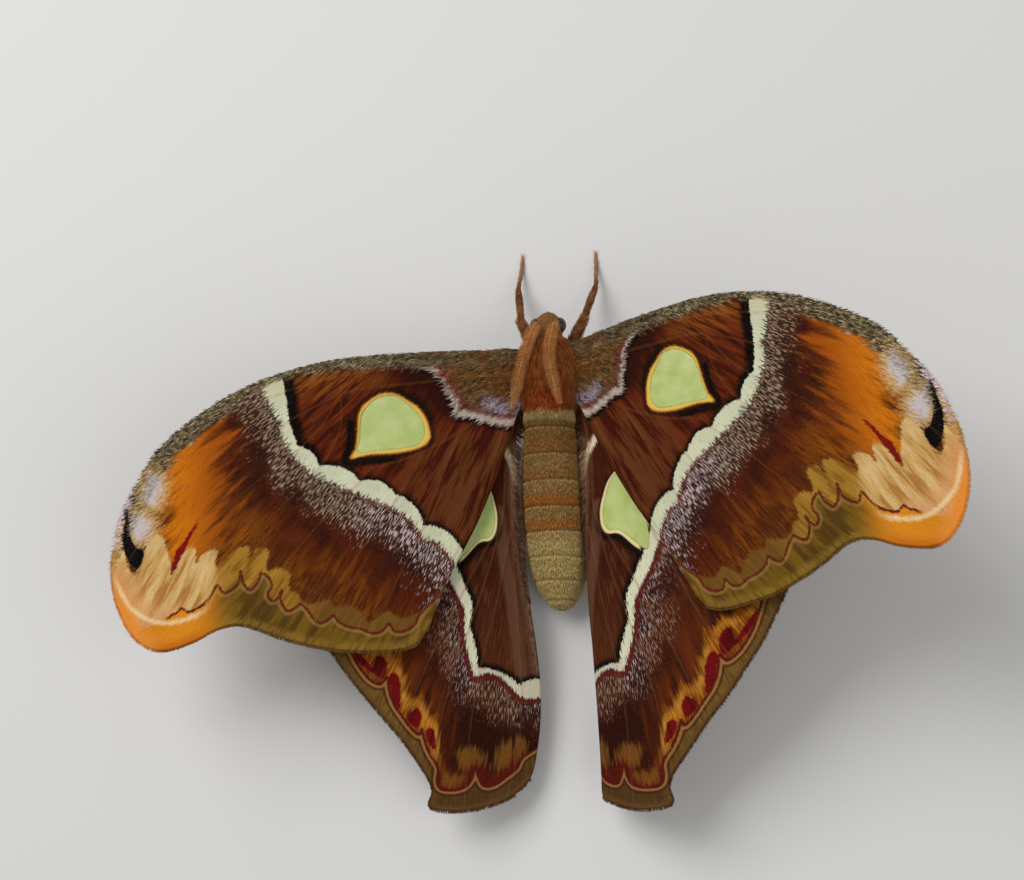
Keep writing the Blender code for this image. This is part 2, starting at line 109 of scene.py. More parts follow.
bpy.ops.mesh.primitive_plane_add(size=FLOOR_SIZE)
floor = bpy.context.object
floor.name = "floor"
bpy.ops.object.mode_set(mode="EDIT")
bpy.ops.mesh.extrude_region_move(TRANSFORM_OT_translate={"value": (0, 0, -FLOOR_DEPTH)})
bpy.ops.mesh.select_all(action="SELECT")
bpy.ops.mesh.normals_make_consistent(inside=False)
bpy.ops.object.mode_set(mode="OBJECT")
floor_paper, floor_tree, floor_shader = new_finish("floor_paper")
paper_grain = node(floor_tree, "ShaderNodeTexNoise", {
    "Vector": node(floor_tree, "ShaderNodeTexCoord").outputs["Object"], "Scale": 900})
paper_bump = node(floor_tree, "ShaderNodeBump", {
    "Height": paper_grain.outputs["Fac"], "Strength": 0.08, "Distance": 0.0005})
floor_tree.links.new(paper_bump.outputs["Normal"], floor_shader.inputs["Normal"])
floor_shader.inputs["Base Color"].default_value = FLOOR_COLOUR
floor_shader.inputs["Roughness"].default_value = 0.85
floor.data.materials.append(floor_paper)

# Studio light: a broad soft box above the head's left side and a weaker one behind on the right,
# both on stands out of view, in a room with even pale walls.
LIGHTS = [("key", (-0.55, 0.55, 0.95), 0.8, 11.5), ("fill", (0.75, -0.35, 0.8), 0.9, 3.2)]

for word, spot, size, power in LIGHTS:
    bpy.ops.object.light_add(type="AREA", location=spot)
    lamp = bpy.context.object
    lamp.name = "light_" + word
    lamp.data.size = size
    lamp.data.energy = power
    lamp.rotation_euler = Vector(spot).to_track_quat("Z", "Y").to_euler()
surround = bpy.data.worlds.new("surround")
surround.use_nodes = True
surround.node_tree.nodes["Background"].inputs["Color"].default_value = (0.95, 0.97, 1.0, 1)
surround.node_tree.nodes["Background"].inputs["Strength"].default_value = 0.42
bpy.context.scene.world = surround
bpy.context.scene.view_settings.view_transform = "Standard"

# Wings: four thin sheets of membrane, stiffened by hollow veins and covered with coloured scales.
# Each is drawn flat, u outward from the hinge and v forward, then arched and set at its own slope.
# The outlines, veins and slopes are the ones that the solids have.
HINGE_U = -2.6
MEMBRANE_HALF = 0.13
SCALE_STEP = 0.56                       # side of the triangles that the membrane is divided into
GRID_CLEAR = SCALE_STEP * 0.55          # how near the triangles' points come to those of rim and veins
RIM_CLEAR, PANE_CLEAR, VEIN_CLEAR = 0.5, 0.9, 0.45   # how near a vein's points come to rim, window, vein
LEFT_FOREWING = dict(side=-1, root=(9.3, 0.0, 21.0), rise=24, bend=22, pitch=6, sweep=0, yaw=0)
RIGHT_FOREWING = dict(side=1, root=(9.3, 1.5, 21.0), rise=38, bend=11, pitch=6, sweep=6, yaw=7)
LEFT_HINDWING = dict(side=-1, root=(9.0, 0.0, 18.6), rise=21, bend=20, pitch=6, sweep=0, yaw=0)
RIGHT_HINDWING = dict(side=1, root=(8.8, 1.0, 18.2), rise=31, bend=12, pitch=5, sweep=-0.5, yaw=0,
                      fan_from=9.3, fan=1.34, fold_ray=4.2, fold_turn=65, fold_radius=3.0, fold_start=8)
FOREWING_EDGE = [(HINGE_U, 15.2), (10, 15.7), (32.9, 14.9), (55.7, 12.6), (78.6, 5.1), (98.6, -8),
                 (107.1, -19.1), (112.9, -30), (115.4, -42.9), (114.3, -54), (109.2, -63.6), (102, -67.6),
                 (93, -65.6), (84, -61.4), (77, -61.2), (66, -65.2), (52, -68.4), (37, -68.9),
                 (29.6, -67.2), (26, -62.3), (19.4, -47.7), (11.4, -32.9), (4.2, -16), (0.2, -4),
                 (HINGE_U, 2.6)]
HINDWING_EDGE = [(HINGE_U, 2.4), (3, 0.6), (14, -6.2), (33, -18), (53, -34), (60.6, -42), (62.6, -51),
                 (59.6, -60), (51, -73.5), (42, -85), (35, -93.5), (29, -102.4), (26.6, -107.8),
                 (27.4, -112.6), (22, -114.2), (13, -113.6), (4.3, -110.8), (-1.4, -106), (-4, -96),
                 (-5, -84), (-4.4, -72), (-2.6, -58), (-0.6, -44), (0.9, -26), (0.8, -12), (-0.6, -3.4),
                 (HINGE_U, -1.2)]
FOREWING_VEINS = [
    [(0, 8.6), (12, 8.6), (27, 6.6), (40, 5.4), (50, 3.4), (64.5, -3.7), (85, -15), (101, -29), (113, -46)],
    [(0, 5), (8, -1.4), (18, -8.6), (30, -14.4), (41, -17.6), (45.1, -21.3), (60, -37), (71, -50.5),
     (77.6, -61)],
    [(1, 1), (5, -11), (11.6, -27), (17.6, -40.4), (25, -55), (31, -67)],
    [(0, 12), (20, 11.4), (45, 9.4), (66, 4.4), (82, -1.6), (92, -3.6)],
    [(50, 3.4), (54.5, -4), (61.8, -11.6), (80, -26), (96, -43.5), (107.6, -62.5)],
    [(50, 3.4), (50.2, -6), (56.3, -17.3), (71, -32), (85.5, -48.5), (93.6, -65)],
    [(66, -5), (80, -9), (92, -12.4), (103.6, -17)],
    [(26, -12.6), (34.4, -25.7), (47, -44), (57.6, -59.5), (61, -66)],
    [(16, -7), (22, -21), (27.3, -34.3), (36.5, -52.5), (44.5, -68.2)]]
HINDWING_VEINS = [
    [(0, 0), (14, -9.6), (33, -22.4), (49, -36.6), (60.4, -47.6)],
    [(0.4, -2), (9, -13), (17, -24), (30, -40), (43, -57.6), (52.6, -70)],
    [(1.4, -4), (4, -18), (5.2, -32), (10.4, -41), (17.1, -52.9), (27, -72), (36, -92)],
    [(17, -24), (17.6, -33), (26, -49.5), (36, -69), (44.6, -81)],
    [(5.2, -32), (9.6, -47), (15.2, -62.4), (22, -82), (28, -106)],
    [(3, -36), (7.4, -56), (13, -76.7), (16, -95), (17.6, -113)],
    [(1.6, -14), (2.4, -34), (1.6, -58), (0.6, -80), (2, -98), (5.4, -110.4)]]
VEIN_HALF_WIDTH = (0.62, 0.3)           # at the hinge and VEIN_FADE out from it
VEIN_RISE = (0.42, 0.14)
VEIN_FADE = 100.0
SAG = 0.5                               # how far the membrane hangs between two veins
SAG_REACH = 4.0


def curve_through(points, step, closed=False):
    """Points along a smooth curve through the given points, about one step apart."""
    knots = [np.array(p, float) for p in points]
    count = len(knots)
    line = []
    for i in range(count if closed else count - 1):
        after = knots[(i + 1) % count]
        before = knots[i - 1] if closed or i > 0 else 2 * knots[i] - after
        later = knots[(i + 2) % count] if closed or i + 2 < count else 2 * after - knots[i]
        cuts = max(1, round(float(np.linalg.norm(after - knots[i])) / step))
        t = (np.arange(cuts) / cuts)[:, None]
        line.append((2 * t**3 - 3 * t**2 + 1) * knots[i] + (t**3 - 2 * t**2 + t) * (after - before) / 2
                    + (3 * t**2 - 2 * t**3) * after + (t**3 - t**2) * (later - knots[i]) / 2)
    if not closed:
        line.append(knots[-1][None])
    return np.vstack(line)


def scallops(cusps, bulge, step=0.7):
    """A line of round lobes between cusps. Each lobe stands out to the left of its run."""
    line = []
    for start, end in zip(np.array(cusps[:-1], float), np.array(cusps[1:], float)):
        run = end - start
        t = np.arange(0, 1, step / np.linalg.norm(run))[:, None]
        line.append(start + run * t + np.array((-run[1], run[0])) * bulge * np.sin(np.pi * t) ** 0.8)
    line.append(np.array(cusps[-1:], float))
    return np.vstack(line)


def nearest(points, line):
    """Each point's distance from a line of straight runs, and whether it lies left of the line."""
    runs = line[1:] - line[:-1]
    lefts = np.column_stack([-runs[:, 1], runs[:, 0]]) / np.linalg.norm(runs, axis=1)[:, None]
    best = np.full(len(points), 1e9)
    left = np.zeros(len(points))
    for i, (start, run) in enumerate(zip(line[:-1], runs)):
        gap = points - start
        t = np.clip(gap @ run / (run @ run), 0, 1)
        apart = gap - t[:, None] * run
        far = np.hypot(apart[:, 0], apart[:, 1])
        closer = far < best
        best[closer] = far[closer]
        facing = np.repeat(lefts[i][None], len(points), axis=0)
        facing[t <= 0] += lefts[max(i - 1, 0)]
        facing[t >= 1] += lefts[min(i + 1, len(runs) - 1)]
        left[closer] = np.sign((apart * facing).sum(1))[closer]
    return best, left


def within(points, loop):
    """Which points lie inside a closed loop."""
    crossings = np.zeros(len(points), int)
    for (x, y), (nx, ny) in zip(loop, np.roll(loop, -1, axis=0)):
        if y == ny:
            continue
        spans = (y > points[:, 1]) != (ny > points[:, 1])
        crossings += spans & (points[:, 0] < x + (points[:, 1] - y) * (nx - x) / (ny - y))
    return crossings % 2 == 1


def patch_field(points, loop):
    """Distance from a closed patch's edge in millimetres, positive inside the patch."""
    closed = curve_through(loop, 1.0, closed=True)
    apart, _ = nearest(points, np.vstack([closed, closed[:1]]))
    return np.where(within(points, closed), apart, -apart)


def line_field(points, line):
    """Distance from an open line in millimetres, positive on its left."""
    apart, left = nearest(points, line)
    return apart * left


def fanned(u, v, pose):
    """Turns the rays apart outside one ray and folds the wing down inside another, as the solid has it."""
    if "fan_from" not in pose:
        return u, v, np.zeros_like(u)
    reach = np.maximum(np.hypot(u, v), 1e-6)
    ray = np.arctan2(u, -v)
    start, fold = math.radians(pose["fan_from"]), math.radians(pose["fold_ray"])
    ray = np.where(ray > start, start + (ray - start) * pose["fan"], ray)
    past = np.maximum(0, (fold - ray) * reach * np.clip(reach / pose["fold_start"] - 1, 0, 1))
    radius, turn = pose["fold_radius"], math.radians(pose["fold_turn"])
    arc = np.minimum(past, radius * turn)
    inward = radius * np.sin(arc / radius) + (past - arc) * math.cos(turn)
    below = radius * (1 - np.cos(arc / radius)) + (past - arc) * math.sin(turn)
    ray = ray + (past - inward) / reach
    return reach * np.sin(ray), -reach * np.cos(ray), below


def wing_places(flat, pose):
    """Where points of the flat wing lie on the spread and arched one, in body millimetres."""
    u, v, below = fanned(flat[:, 0], flat[:, 1], pose)
    sweep, rise = math.radians(pose["sweep"]), math.radians(pose["rise"])
    pitch, yaw = math.radians(pose["pitch"]), math.radians(pose["yaw"])
    curl = math.radians(pose["bend"]) / 120
    u, v = u * math.cos(sweep) - v * math.sin(sweep), u * math.sin(sweep) + v * math.cos(sweep)
    slope = rise - curl * u
    out = (math.sin(rise) - np.sin(slope)) / curl + below * np.sin(slope)
    lift = (np.cos(slope) - math.cos(rise)) / curl - below * np.cos(slope)
    ahead = v * math.cos(pitch) - lift * math.sin(pitch)
    up = lift * math.cos(pitch) + v * math.sin(pitch)
    out, ahead = out * math.cos(yaw) - ahead * math.sin(yaw), out * math.sin(yaw) + ahead * math.cos(yaw)
    root = pose["root"]
    return np.column_stack([pose["side"] * (root[0] + out), root[1] + ahead, root[2] + up])


def wing_normals(flat, pose):
    """The way that the upper face looks at each point of the flat wing."""
    du, dv = np.array((0.05, 0)), np.array((0, 0.05))
    along = wing_places(flat + du, pose) - wing_places(flat - du, pose)
    fore = wing_places(flat + dv, pose) - wing_places(flat - dv, pose)
    normal = np.cross(along, fore) * pose["side"]
    return normal / np.linalg.norm(normal, axis=1)[:, None]


def carry(mesh, fields):
    """Stores named values at the mesh's points, for its material to read."""
    for word, values in fields.items():
        kind, slot = ("FLOAT", "value") if values.ndim == 1 else ("FLOAT_VECTOR", "vector")
        mesh.attributes.new(word, kind, "POINT").data.foreach_set(slot, values.astype(np.float32).ravel())


def mesh_piece(name, points, faces, uv, fields):
    """An object from arrays: points in body millimetres, triangles, bake map and point values."""
    mesh = bpy.data.meshes.new(name)
    mesh.vertices.add(len(points))
    mesh.vertices.foreach_set("co", placed(points).astype(np.float32).ravel())
    mesh.loops.add(faces.size)
    mesh.loops.foreach_set("vertex_index", faces.astype(np.int32).ravel())
    mesh.polygons.add(len(faces))
    mesh.polygons.foreach_set("loop_start", np.arange(0, faces.size, faces.shape[1], dtype=np.int32))
    mesh.update(calc_edges=True)
    mesh.uv_layers.new(name="OFBake").uv.foreach_set("vector", uv.astype(np.float32).ravel())
    carry(mesh, fields)
    mesh.polygons.foreach_set("use_smooth", np.ones(len(faces), bool))
    piece = bpy.data.objects.new(name, mesh)
    bpy.context.scene.collection.objects.link(piece)
    return piece


def flat_wing(edge, veins, pane):
    """The flat wing as fine triangles with rows of points along its veins and round its window."""
    rim = curve_through(edge, SCALE_STEP, closed=True)
    rim_line = np.vstack([rim, rim[:1]])
    crests = []
    for vein in veins:
        crest = curve_through(vein, SCALE_STEP)
        crest = crest[within(crest, rim) & (nearest(crest, rim_line)[0] > RIM_CLEAR)]
        crests.append(crest[nearest(crest, pane)[0] > PANE_CLEAR])
    taken = [rim, pane[:-1]]
    for order, crest in enumerate(crests):
        clear = np.ones(len(crest), bool)
        for other in crests[:order]:
            clear &= np.linalg.norm(crest[:, None] - other[None], axis=2).min(1) > VEIN_CLEAR
        taken.append(crest[clear])
    fixed = np.vstack(taken)
    low, high = rim.min(0), rim.max(0)
    rows = np.arange(low[1], high[1], SCALE_STEP * 0.866)
    grid = []
    for i, v in enumerate(rows):
        across = np.arange(low[0] + SCALE_STEP * 0.5 * (i % 2), high[0], SCALE_STEP)
        grid.append(np.column_stack([across, np.full(len(across), v)]))
    grid = np.vstack(grid)
    grid = grid[within(grid, rim)]
    cells = {}
    for p in fixed:
        cells.setdefault((int(p[0] // 1), int(p[1] // 1)), []).append(p)
    keep = []
    for p in grid:
        cx, cy = int(p[0] // 1), int(p[1] // 1)
        near = [q for i in (-1, 0, 1) for j in (-1, 0, 1) for q in cells.get((cx + i, cy + j), ())]
        if all((p[0] - q[0]) ** 2 + (p[1] - q[1]) ** 2 > GRID_CLEAR ** 2 for q in near):
            keep.append(p)
    points = np.vstack([fixed, np.array(keep)])
    first = len(rim)
    count = len(pane) - 1
    runs = [(first + i, first + (i + 1) % count) for i in range(count)]
    flat, _, faces, *_ = delaunay_2d_cdt([tuple(p) for p in points], runs, [list(range(len(rim)))], 1, 1e-5)
    return np.array([tuple(p) for p in flat]), np.array([tuple(f) for f in faces]), crests


def sheet(name, flat, faces, pose, lift, half, fields, uv_span):
    """A closed thin sheet on the arched wing: upper face, lower face and the walls between them."""
    used = np.unique(faces)
    slot = np.full(len(flat), -1)
    slot[used] = np.arange(len(used))
    faces, flat = slot[faces], flat[used]
    count = len(flat)
    place, normal = wing_places(flat, pose), wing_normals(flat, pose)
    middle = place + normal * lift[used][:, None]
    thick = normal * half[used][:, None]
    edges = np.vstack([faces[:, [0, 1]], faces[:, [1, 2]], faces[:, [2, 0]]])
    code = edges[:, 0] * count + edges[:, 1]
    border = edges[~np.isin(code, edges[:, 1] * count + edges[:, 0])]
    a, b = border[:, 0], border[:, 1]
    walls = np.vstack([np.column_stack([b, a, a + count]), np.column_stack([b, a + count, b + count])])
    every = np.vstack([faces, faces[:, ::-1] + count, walls])
    if pose["side"] < 0:
        every = every[:, ::-1]
    low, scale, step = uv_span
    upper = (flat - low) * scale + 0.01
    lower = upper + step
    corner = np.vstack([upper, lower])
    uv = corner[every]
    uv[-len(walls):] = upper[every[-len(walls):] % count]
    both = {word: np.concatenate([values[used]] * 2) for word, values in fields.items()}
    both["under"] = np.repeat((0.0, 1.0), count)
    points = np.vstack([middle + thick, middle - thick])
    return mesh_piece(name, points, every, uv, both)


# Colour of the wings: rows of scales that lie outward along the veins. The strokes, streaks and
# blotches that the scales make are one node group, which follows the flow of the veins.
STROKES = {"Hair": ((3.5, 0.5, 1), 2, 0.5), "Thread": ((1.5, 0.13, 1), 3, 0.6),
           "Streak": ((0.5, 0.05, 1), 3, 0.6), "Blotch": ((0.11, 0.08, 1), 3, 0.55),
           "Grain": ((5.5, 2.6, 1), 2, 0.6)}


def colour(red, green, blue):
    """A shader colour from one as a screen shows it, each part out of 255."""
    parts = [part / 255 for part in (red, green, blue)]
    return tuple(p / 12.92 if p <= 0.04045 else ((p + 0.055) / 1.055) ** 2.4 for p in parts) + (1.0,)


def ramp(tree, value, low, high):
    """0 at low, 1 at high, and smooth between."""
    return node(tree, "ShaderNodeMapRange", {"Value": value, "From Min": low, "From Max": high},
                interpolation_type="SMOOTHSTEP").outputs["Result"]


def graded(tree, value, low, high, start=0.0, end=1.0):
    """Low where the value is at its start, high at its end, and even between."""
    return node(tree, "ShaderNodeMapRange", {"Value": value, "From Min": start, "From Max": end,
                                             "To Min": low, "To Max": high}).outputs["Result"]


def sums(tree, operation, first, second=0.0):
    """One step of arithmetic."""
    return node(tree, "ShaderNodeMath", {0: first, 1: second}, operation=operation).outputs[0]


def read(tree, word, output="Fac"):
    """A value that the mesh carries at its points."""
    return node(tree, "ShaderNodeAttribute", attribute_name=word).outputs[output]


def product(tree, *parts):
    """Masks multiplied together. A mask is a value, or a value with where it starts and is full."""
    whole = None
    for part in parts:
        value = ramp(tree, *part) if isinstance(part, tuple) else part
        whole = value if whole is None else sums(tree, "MULTIPLY", whole, value)
    return whole


def layers(tree, ground, *coats):
    """Colours laid one over another on a ground, each cut by the masks that follow it."""
    for tint, *masks in coats:
        ground, tint = [colour(*c) if isinstance(c, tuple) else c for c in (ground, tint)]
        ground = node(tree, "ShaderNodeMix", {0: product(tree, *masks), 6: ground, 7: tint},
                      data_type="RGBA").outputs[2]
    return ground


wing_strokes = bpy.data.node_groups.new("wing_strokes", "ShaderNodeTree")
wing_strokes.interface.new_socket("Flow", in_out="INPUT", socket_type="NodeSocketVector")
strokes_in = wing_strokes.nodes.new("NodeGroupInput")
strokes_out = wing_strokes.nodes.new("NodeGroupOutput")
for word, (stretch, detail, rough) in STROKES.items():
    wing_strokes.interface.new_socket(word, in_out="OUTPUT", socket_type="NodeSocketFloat")
    drawn = node(wing_strokes, "ShaderNodeVectorMath", {0: strokes_in.outputs["Flow"], 1: stretch},
                 operation="MULTIPLY")
    made = node(wing_strokes, "ShaderNodeTexNoise",
                {"Vector": drawn.outputs[0], "Scale": 1.0, "Detail": detail, "Roughness": rough})
    spread = ramp(wing_strokes, made.outputs["Fac"], 0.28, 0.72)
    wing_strokes.links.new(spread, strokes_out.inputs[word])


def strokes_along(tree, word):
    """The marks of the scales, along the flow that the mesh carries under this name."""
    return node(tree, "ShaderNodeGroup", {"Flow": read(tree, word, "Vector")},
                node_tree=wing_strokes).outputs


def scaled_material(name, pattern):
    """A matt finish of scales. The pattern function gives its colour."""
    finish, tree, shader = new_finish(name)
    marks = strokes_along(tree, "flow")
    shown = layers(tree, pattern(tree), ((20, 10, 6), (marks["Grain"], 0.45, 0.0), 0.22),
                   ((222, 190, 150), (marks["Grain"], 0.8, 1.0), 0.07),
                   ((150, 112, 84), read(tree, "under"), 0.4))
    tree.links.new(shown, shader.inputs["Base Color"])
    tree.links.new(graded(tree, marks["Hair"], 0.7, 0.92), shader.inputs["Roughness"])
    height = sums(tree, "ADD", marks["Hair"], sums(tree, "MULTIPLY", marks["Grain"], 0.5))
    relief = node(tree, "ShaderNodeBump", {"Height": height, "Strength": 0.5, "Distance": 0.0001})
    tree.links.new(relief.outputs["Normal"], shader.inputs["Normal"])
    shader.inputs["Specular IOR Level"].default_value = 0.05
    return finish


# Forewing pattern: a chestnut field with a see-through window, a white scalloped band edged in
# black, a frosted zone beyond it, and an orange and tan tip with a dark comma, like a snake's head.
FORE_FLOW = (-30.0, 75.0)               # point that the outer veins run from
TIP_FLOW = (40.0, 60.0)                 # and the one that the marks of the tip run from
FORE_BAND_INNER = [(67, 17), (65.9, 6.7), (65.1, 2.1), (64.8, -2.4), (64.0, -5.5), (62.4, -10.9)]
FORE_BAND_CUSPS = [(62.4, -10.9), (56.3, -17), (45.1, -21.1), (34.8, -25.2), (27.3, -33.8), (16, -42)]
FORE_BAND_OUTER = [(73.5, 14), (72.1, 6.2), (70.4, 2.2), (67.2, -3.4), (66.4, -8.0), (62.2, -14.6),
                   (57.7, -18.6), (51.3, -22.1), (45.7, -24.5), (38.5, -27.7), (34.5, -29.4), (30.4, -32.6),
                   (27.2, -37.6), (24, -38.4), (20.9, -41.2), (18, -46), (15, -52)]
FORE_WINDOW = [(47.9, -15.1), (46.4, -11.8), (45.8, -7.2), (45.4, -2.4), (44.0, 0.4), (41.7, 2.4),
               (38.8, 3.9), (36.0, 4.2), (33.2, 3.4), (30.4, 1.7), (28.1, 0.2), (25.9, -2.6), (24.8, -5.5),
               (24.3, -8.9), (25.7, -11.1), (28.3, -12.5), (32.0, -13.4), (36.3, -13.9), (41.9, -14.1)]
FORE_PANE = [(45.1, -13.1), (44.7, -9.5), (44.5, -5.8), (44.0, -2.6), (42.6, -0.4), (40.7, 1.5),
             (38.2, 2.7), (35.8, 3.0), (33.6, 2.5), (30.9, 0.4), (28.5, -1.9), (26.9, -4.4), (26.2, -7.2),
             (27.0, -9.7), (28.9, -11.3), (33.4, -12.1), (39.6, -12.7)]
FORE_WINDOW_SHADE = [(47.3, -5), (47.4, -10), (48.8, -15.8), (45.2, -15.6), (41, -15.4), (35.6, -14.8)]
FORE_BASE_LINE = [(28, 11.6), (26.2, 10.8), (23.4, 9.6), (21.1, 7.3), (19.7, 4.5), (18.1, 1.6),
                  (16.7, -3.0), (13.9, -3.3), (10.4, -4.1), (6.1, -5.3), (2.3, -5.9), (-4, -5)]
FORE_COSTA = [(104.6, -26), (100.5, -18.3), (97.0, -13.3), (92.7, -9.4), (86.9, -5.3), (80.6, -0.4),
              (73.2, 5.2), (65.6, 8.2), (55.7, 9.7), (44.4, 10.4), (33.1, 10.8), (23.9, 11.1), (13.0, 10.8),
              (-3, 11.4)]
FORE_ORANGE = [(99.9, -16.9), (96.7, -13.0), (92.7, -9.7), (88.4, -6.4), (83.5, -4.3), (80.4, -6.6),
               (81.9, -10.5), (84.3, -14.4), (84.5, -19.5), (82.7, -23.5), (82.1, -28.0), (83.2, -33.6),
               (86.7, -38.3), (93.0, -40.2), (98.1, -38.9), (100.9, -35.5), (100.3, -29.6), (101.1, -23.1)]
FORE_PALE = [[(104.2, -17.3), (101.4, -18.0), (100.5, -21.4), (101.4, -25.3), (103.7, -27.5), (106.0, -26.6),
              (106.6, -22.9)],
             [(109.3, -28.5), (106.4, -29.2), (103.8, -31.5), (103.8, -34.3), (106.1, -36.8), (108.7, -36.7),
              (110.2, -33.6), (110.4, -30.2)]]
FORE_ROSY = [(109.8, -21.2), (109.2, -24.3), (110.7, -27.4), (112.2, -30.7), (113.1, -34.9), (114.0, -38.6),
             (115.4, -37.7), (115.4, -32.9), (113.9, -27.3), (111.8, -23.4)]
FORE_COMMA = [(111.0, -27.3), (110.6, -31.3), (110.2, -34.7), (109.3, -37.3), (107.9, -39.0),
              (106.6, -39.0), (106.3, -41.0), (107.2, -43.5), (108.2, -44.6), (109.9, -43.2),
              (111.4, -40.9), (112.2, -37.8), (112.2, -34.1), (111.5, -30.2)]
FORE_STREAK = [(90.3, -31.2), (92.0, -33.4), (94.6, -36.7), (97.0, -40.1), (98.1, -44.0), (98.4, -46.8),
               (97.3, -45.4), (95.8, -42.3), (94.1, -39.0), (92.6, -35.7), (90.9, -33.2)]
FORE_FINGERS = [(112.5, -30), (111, -43), (108.5, -46.0), (106.0, -39.9), (105.3, -37.4), (103.8, -35.4),
                (102.4, -34.9), (100.6, -36.1), (99.8, -39.2), (98.7, -42.3), (98.4, -46.2), (97.3, -44.0),
                (95.5, -40.9), (92.9, -39.0), (91.5, -39.6), (91.3, -43.3), (89.6, -41.3), (87.8, -40.0),
                (86.1, -39.5), (85.3, -40.3), (85.9, -44.2), (84.8, -44.8), (83.3, -43.4), (81.3, -40.7),
                (79.3, -39.3), (76.5, -38.8), (76.0, -40.2), (77.1, -43.6), (76.0, -42.2), (74.6, -40.0),
                (72.9, -39.4), (71.2, -40.0), (70.7, -41.7), (71.8, -44.8), (70.4, -46.2), (68.7, -45.1),
                (66.8, -45.5), (64.8, -46.6), (65.1, -49.4), (64.6, -51.9), (62.9, -52.0), (62.1, -53.7),
                (60.5, -55.4), (58.5, -55.4), (56.5, -54.9), (53.5, -54.4), (52.4, -56.7), (49, -56),
                (46, -57), (43, -61), (38, -58), (33, -60), (27, -58), (20, -58), (20, -75), (70, -80),
                (120, -75), (124, -40)]
FORE_WAVY = [(106, -61.5), (100.0, -58.5), (97.1, -57.2), (95.4, -55.9), (93.7, -57.0), (90.8, -55.9),
             (88.5, -54.3), (86.8, -51.8), (85.1, -49.6), (83.7, -51.8), (81.4, -51.0), (79.5, -49.1),
             (78.6, -45.8), (78.0, -49.2), (76.1, -51.1), (74.1, -49.2), (72.7, -46.5), (70.7, -47.9),
             (69.9, -50.2), (71.1, -52.4), (70.0, -54.3), (68.0, -53.0), (67.1, -51.0), (67.4, -54.4),
             (65.8, -57.2), (63.5, -56.4), (61.9, -55.3), (59.9, -57.3), (58.3, -59.6), (56.3, -60.8),
             (54.1, -59.7), (52.7, -58.6), (51.3, -60.6), (48.2, -62.1), (44.9, -62.7), (42.1, -63.9),
             (39.3, -63.4), (37.3, -61.2), (35.9, -63.4), (33.1, -63.5), (30.3, -61.9), (28.5, -58.8),
             (24, -54), (20, -46)]
FORE_CREAM = [(114.6, -47.0), (111.5, -53.8), (108.0, -57.2), (103.1, -59.6), (98.3, -59.8), (93.7, -58.8),
              (89.1, -56.8), (85.7, -53.6)]
FORE_OUTER_EDGE = [(112.9, -30), (115.4, -42.9), (114.3, -54), (109.2, -63.6), (102, -67.6), (93, -65.6),
                   (84, -61.4), (77, -61.2), (66, -65.2), (52, -68.4), (37, -68.9), (29.6, -67.2),
                   (26, -62.3)]


def flow_of(flat, centre):
    """How far round and how far out each point is from the point that the veins fan from."""
    gap = flat - np.array(centre)
    return np.column_stack([np.arctan2(gap[:, 0], -gap[:, 1]) * 100, np.hypot(*gap.T), np.zeros(len(flat))])


def vein_field(flat, crests):
    """Distance from the nearest vein's edge, less than nothing on the vein."""
    share = np.clip(np.hypot(*flat.T) / VEIN_FADE, 0, 1)
    wide = VEIN_HALF_WIDTH[0] + (VEIN_HALF_WIDTH[1] - VEIN_HALF_WIDTH[0]) * share
    apart = np.min([nearest(flat, crest)[0] for crest in crests], axis=0)
    return apart - wide, apart / wide, share


def forewing_fields(flat, crests):
    """What the forewing's material reads at each point, in millimetres."""
    inner = np.vstack([curve_through(FORE_BAND_INNER, 1.0)[:-1], scallops(FORE_BAND_CUSPS, -0.17)])
    wavy, _ = nearest(flat, curve_through(FORE_WAVY, 0.6))
    return {
        "flow": flow_of(flat, FORE_FLOW), "tipflow": flow_of(flat, TIP_FLOW),
        "flat": np.column_stack([flat, np.zeros(len(flat))]),
        "vein": vein_field(flat, crests)[0],
        "inner": -line_field(flat, inner), "outer": line_field(flat, curve_through(FORE_BAND_OUTER, 1.0)),
        "window": patch_field(flat, FORE_WINDOW),
        "behind": nearest(flat, curve_through(FORE_WINDOW_SHADE, 1.0))[0],
        "base": line_field(flat, curve_through(FORE_BASE_LINE, 1.0)),
        "costa": -line_field(flat, curve_through(FORE_COSTA, 1.5)),
        "orange": patch_field(flat, FORE_ORANGE),
        "pale": np.max([patch_field(flat, p) for p in FORE_PALE], axis=0),
        "rosy": patch_field(flat, FORE_ROSY), "comma": patch_field(flat, FORE_COMMA),
        "streak": patch_field(flat, FORE_STREAK), "fingers": patch_field(flat, FORE_FINGERS),
        "wavy": wavy, "beyond": line_field(flat, curve_through(FORE_WAVY, 0.6)),
        "cream": nearest(flat, curve_through(FORE_CREAM, 1.0))[0],
        "margin": nearest(flat, curve_through(FORE_OUTER_EDGE, 1.0))[0]}


def strayed(tree, word, noise, share):
    """A field whose even lines are made ragged by a noise."""
    return sums(tree, "ADD", read(tree, word),
                sums(tree, "MULTIPLY", sums(tree, "SUBTRACT", noise, 0.5), share))


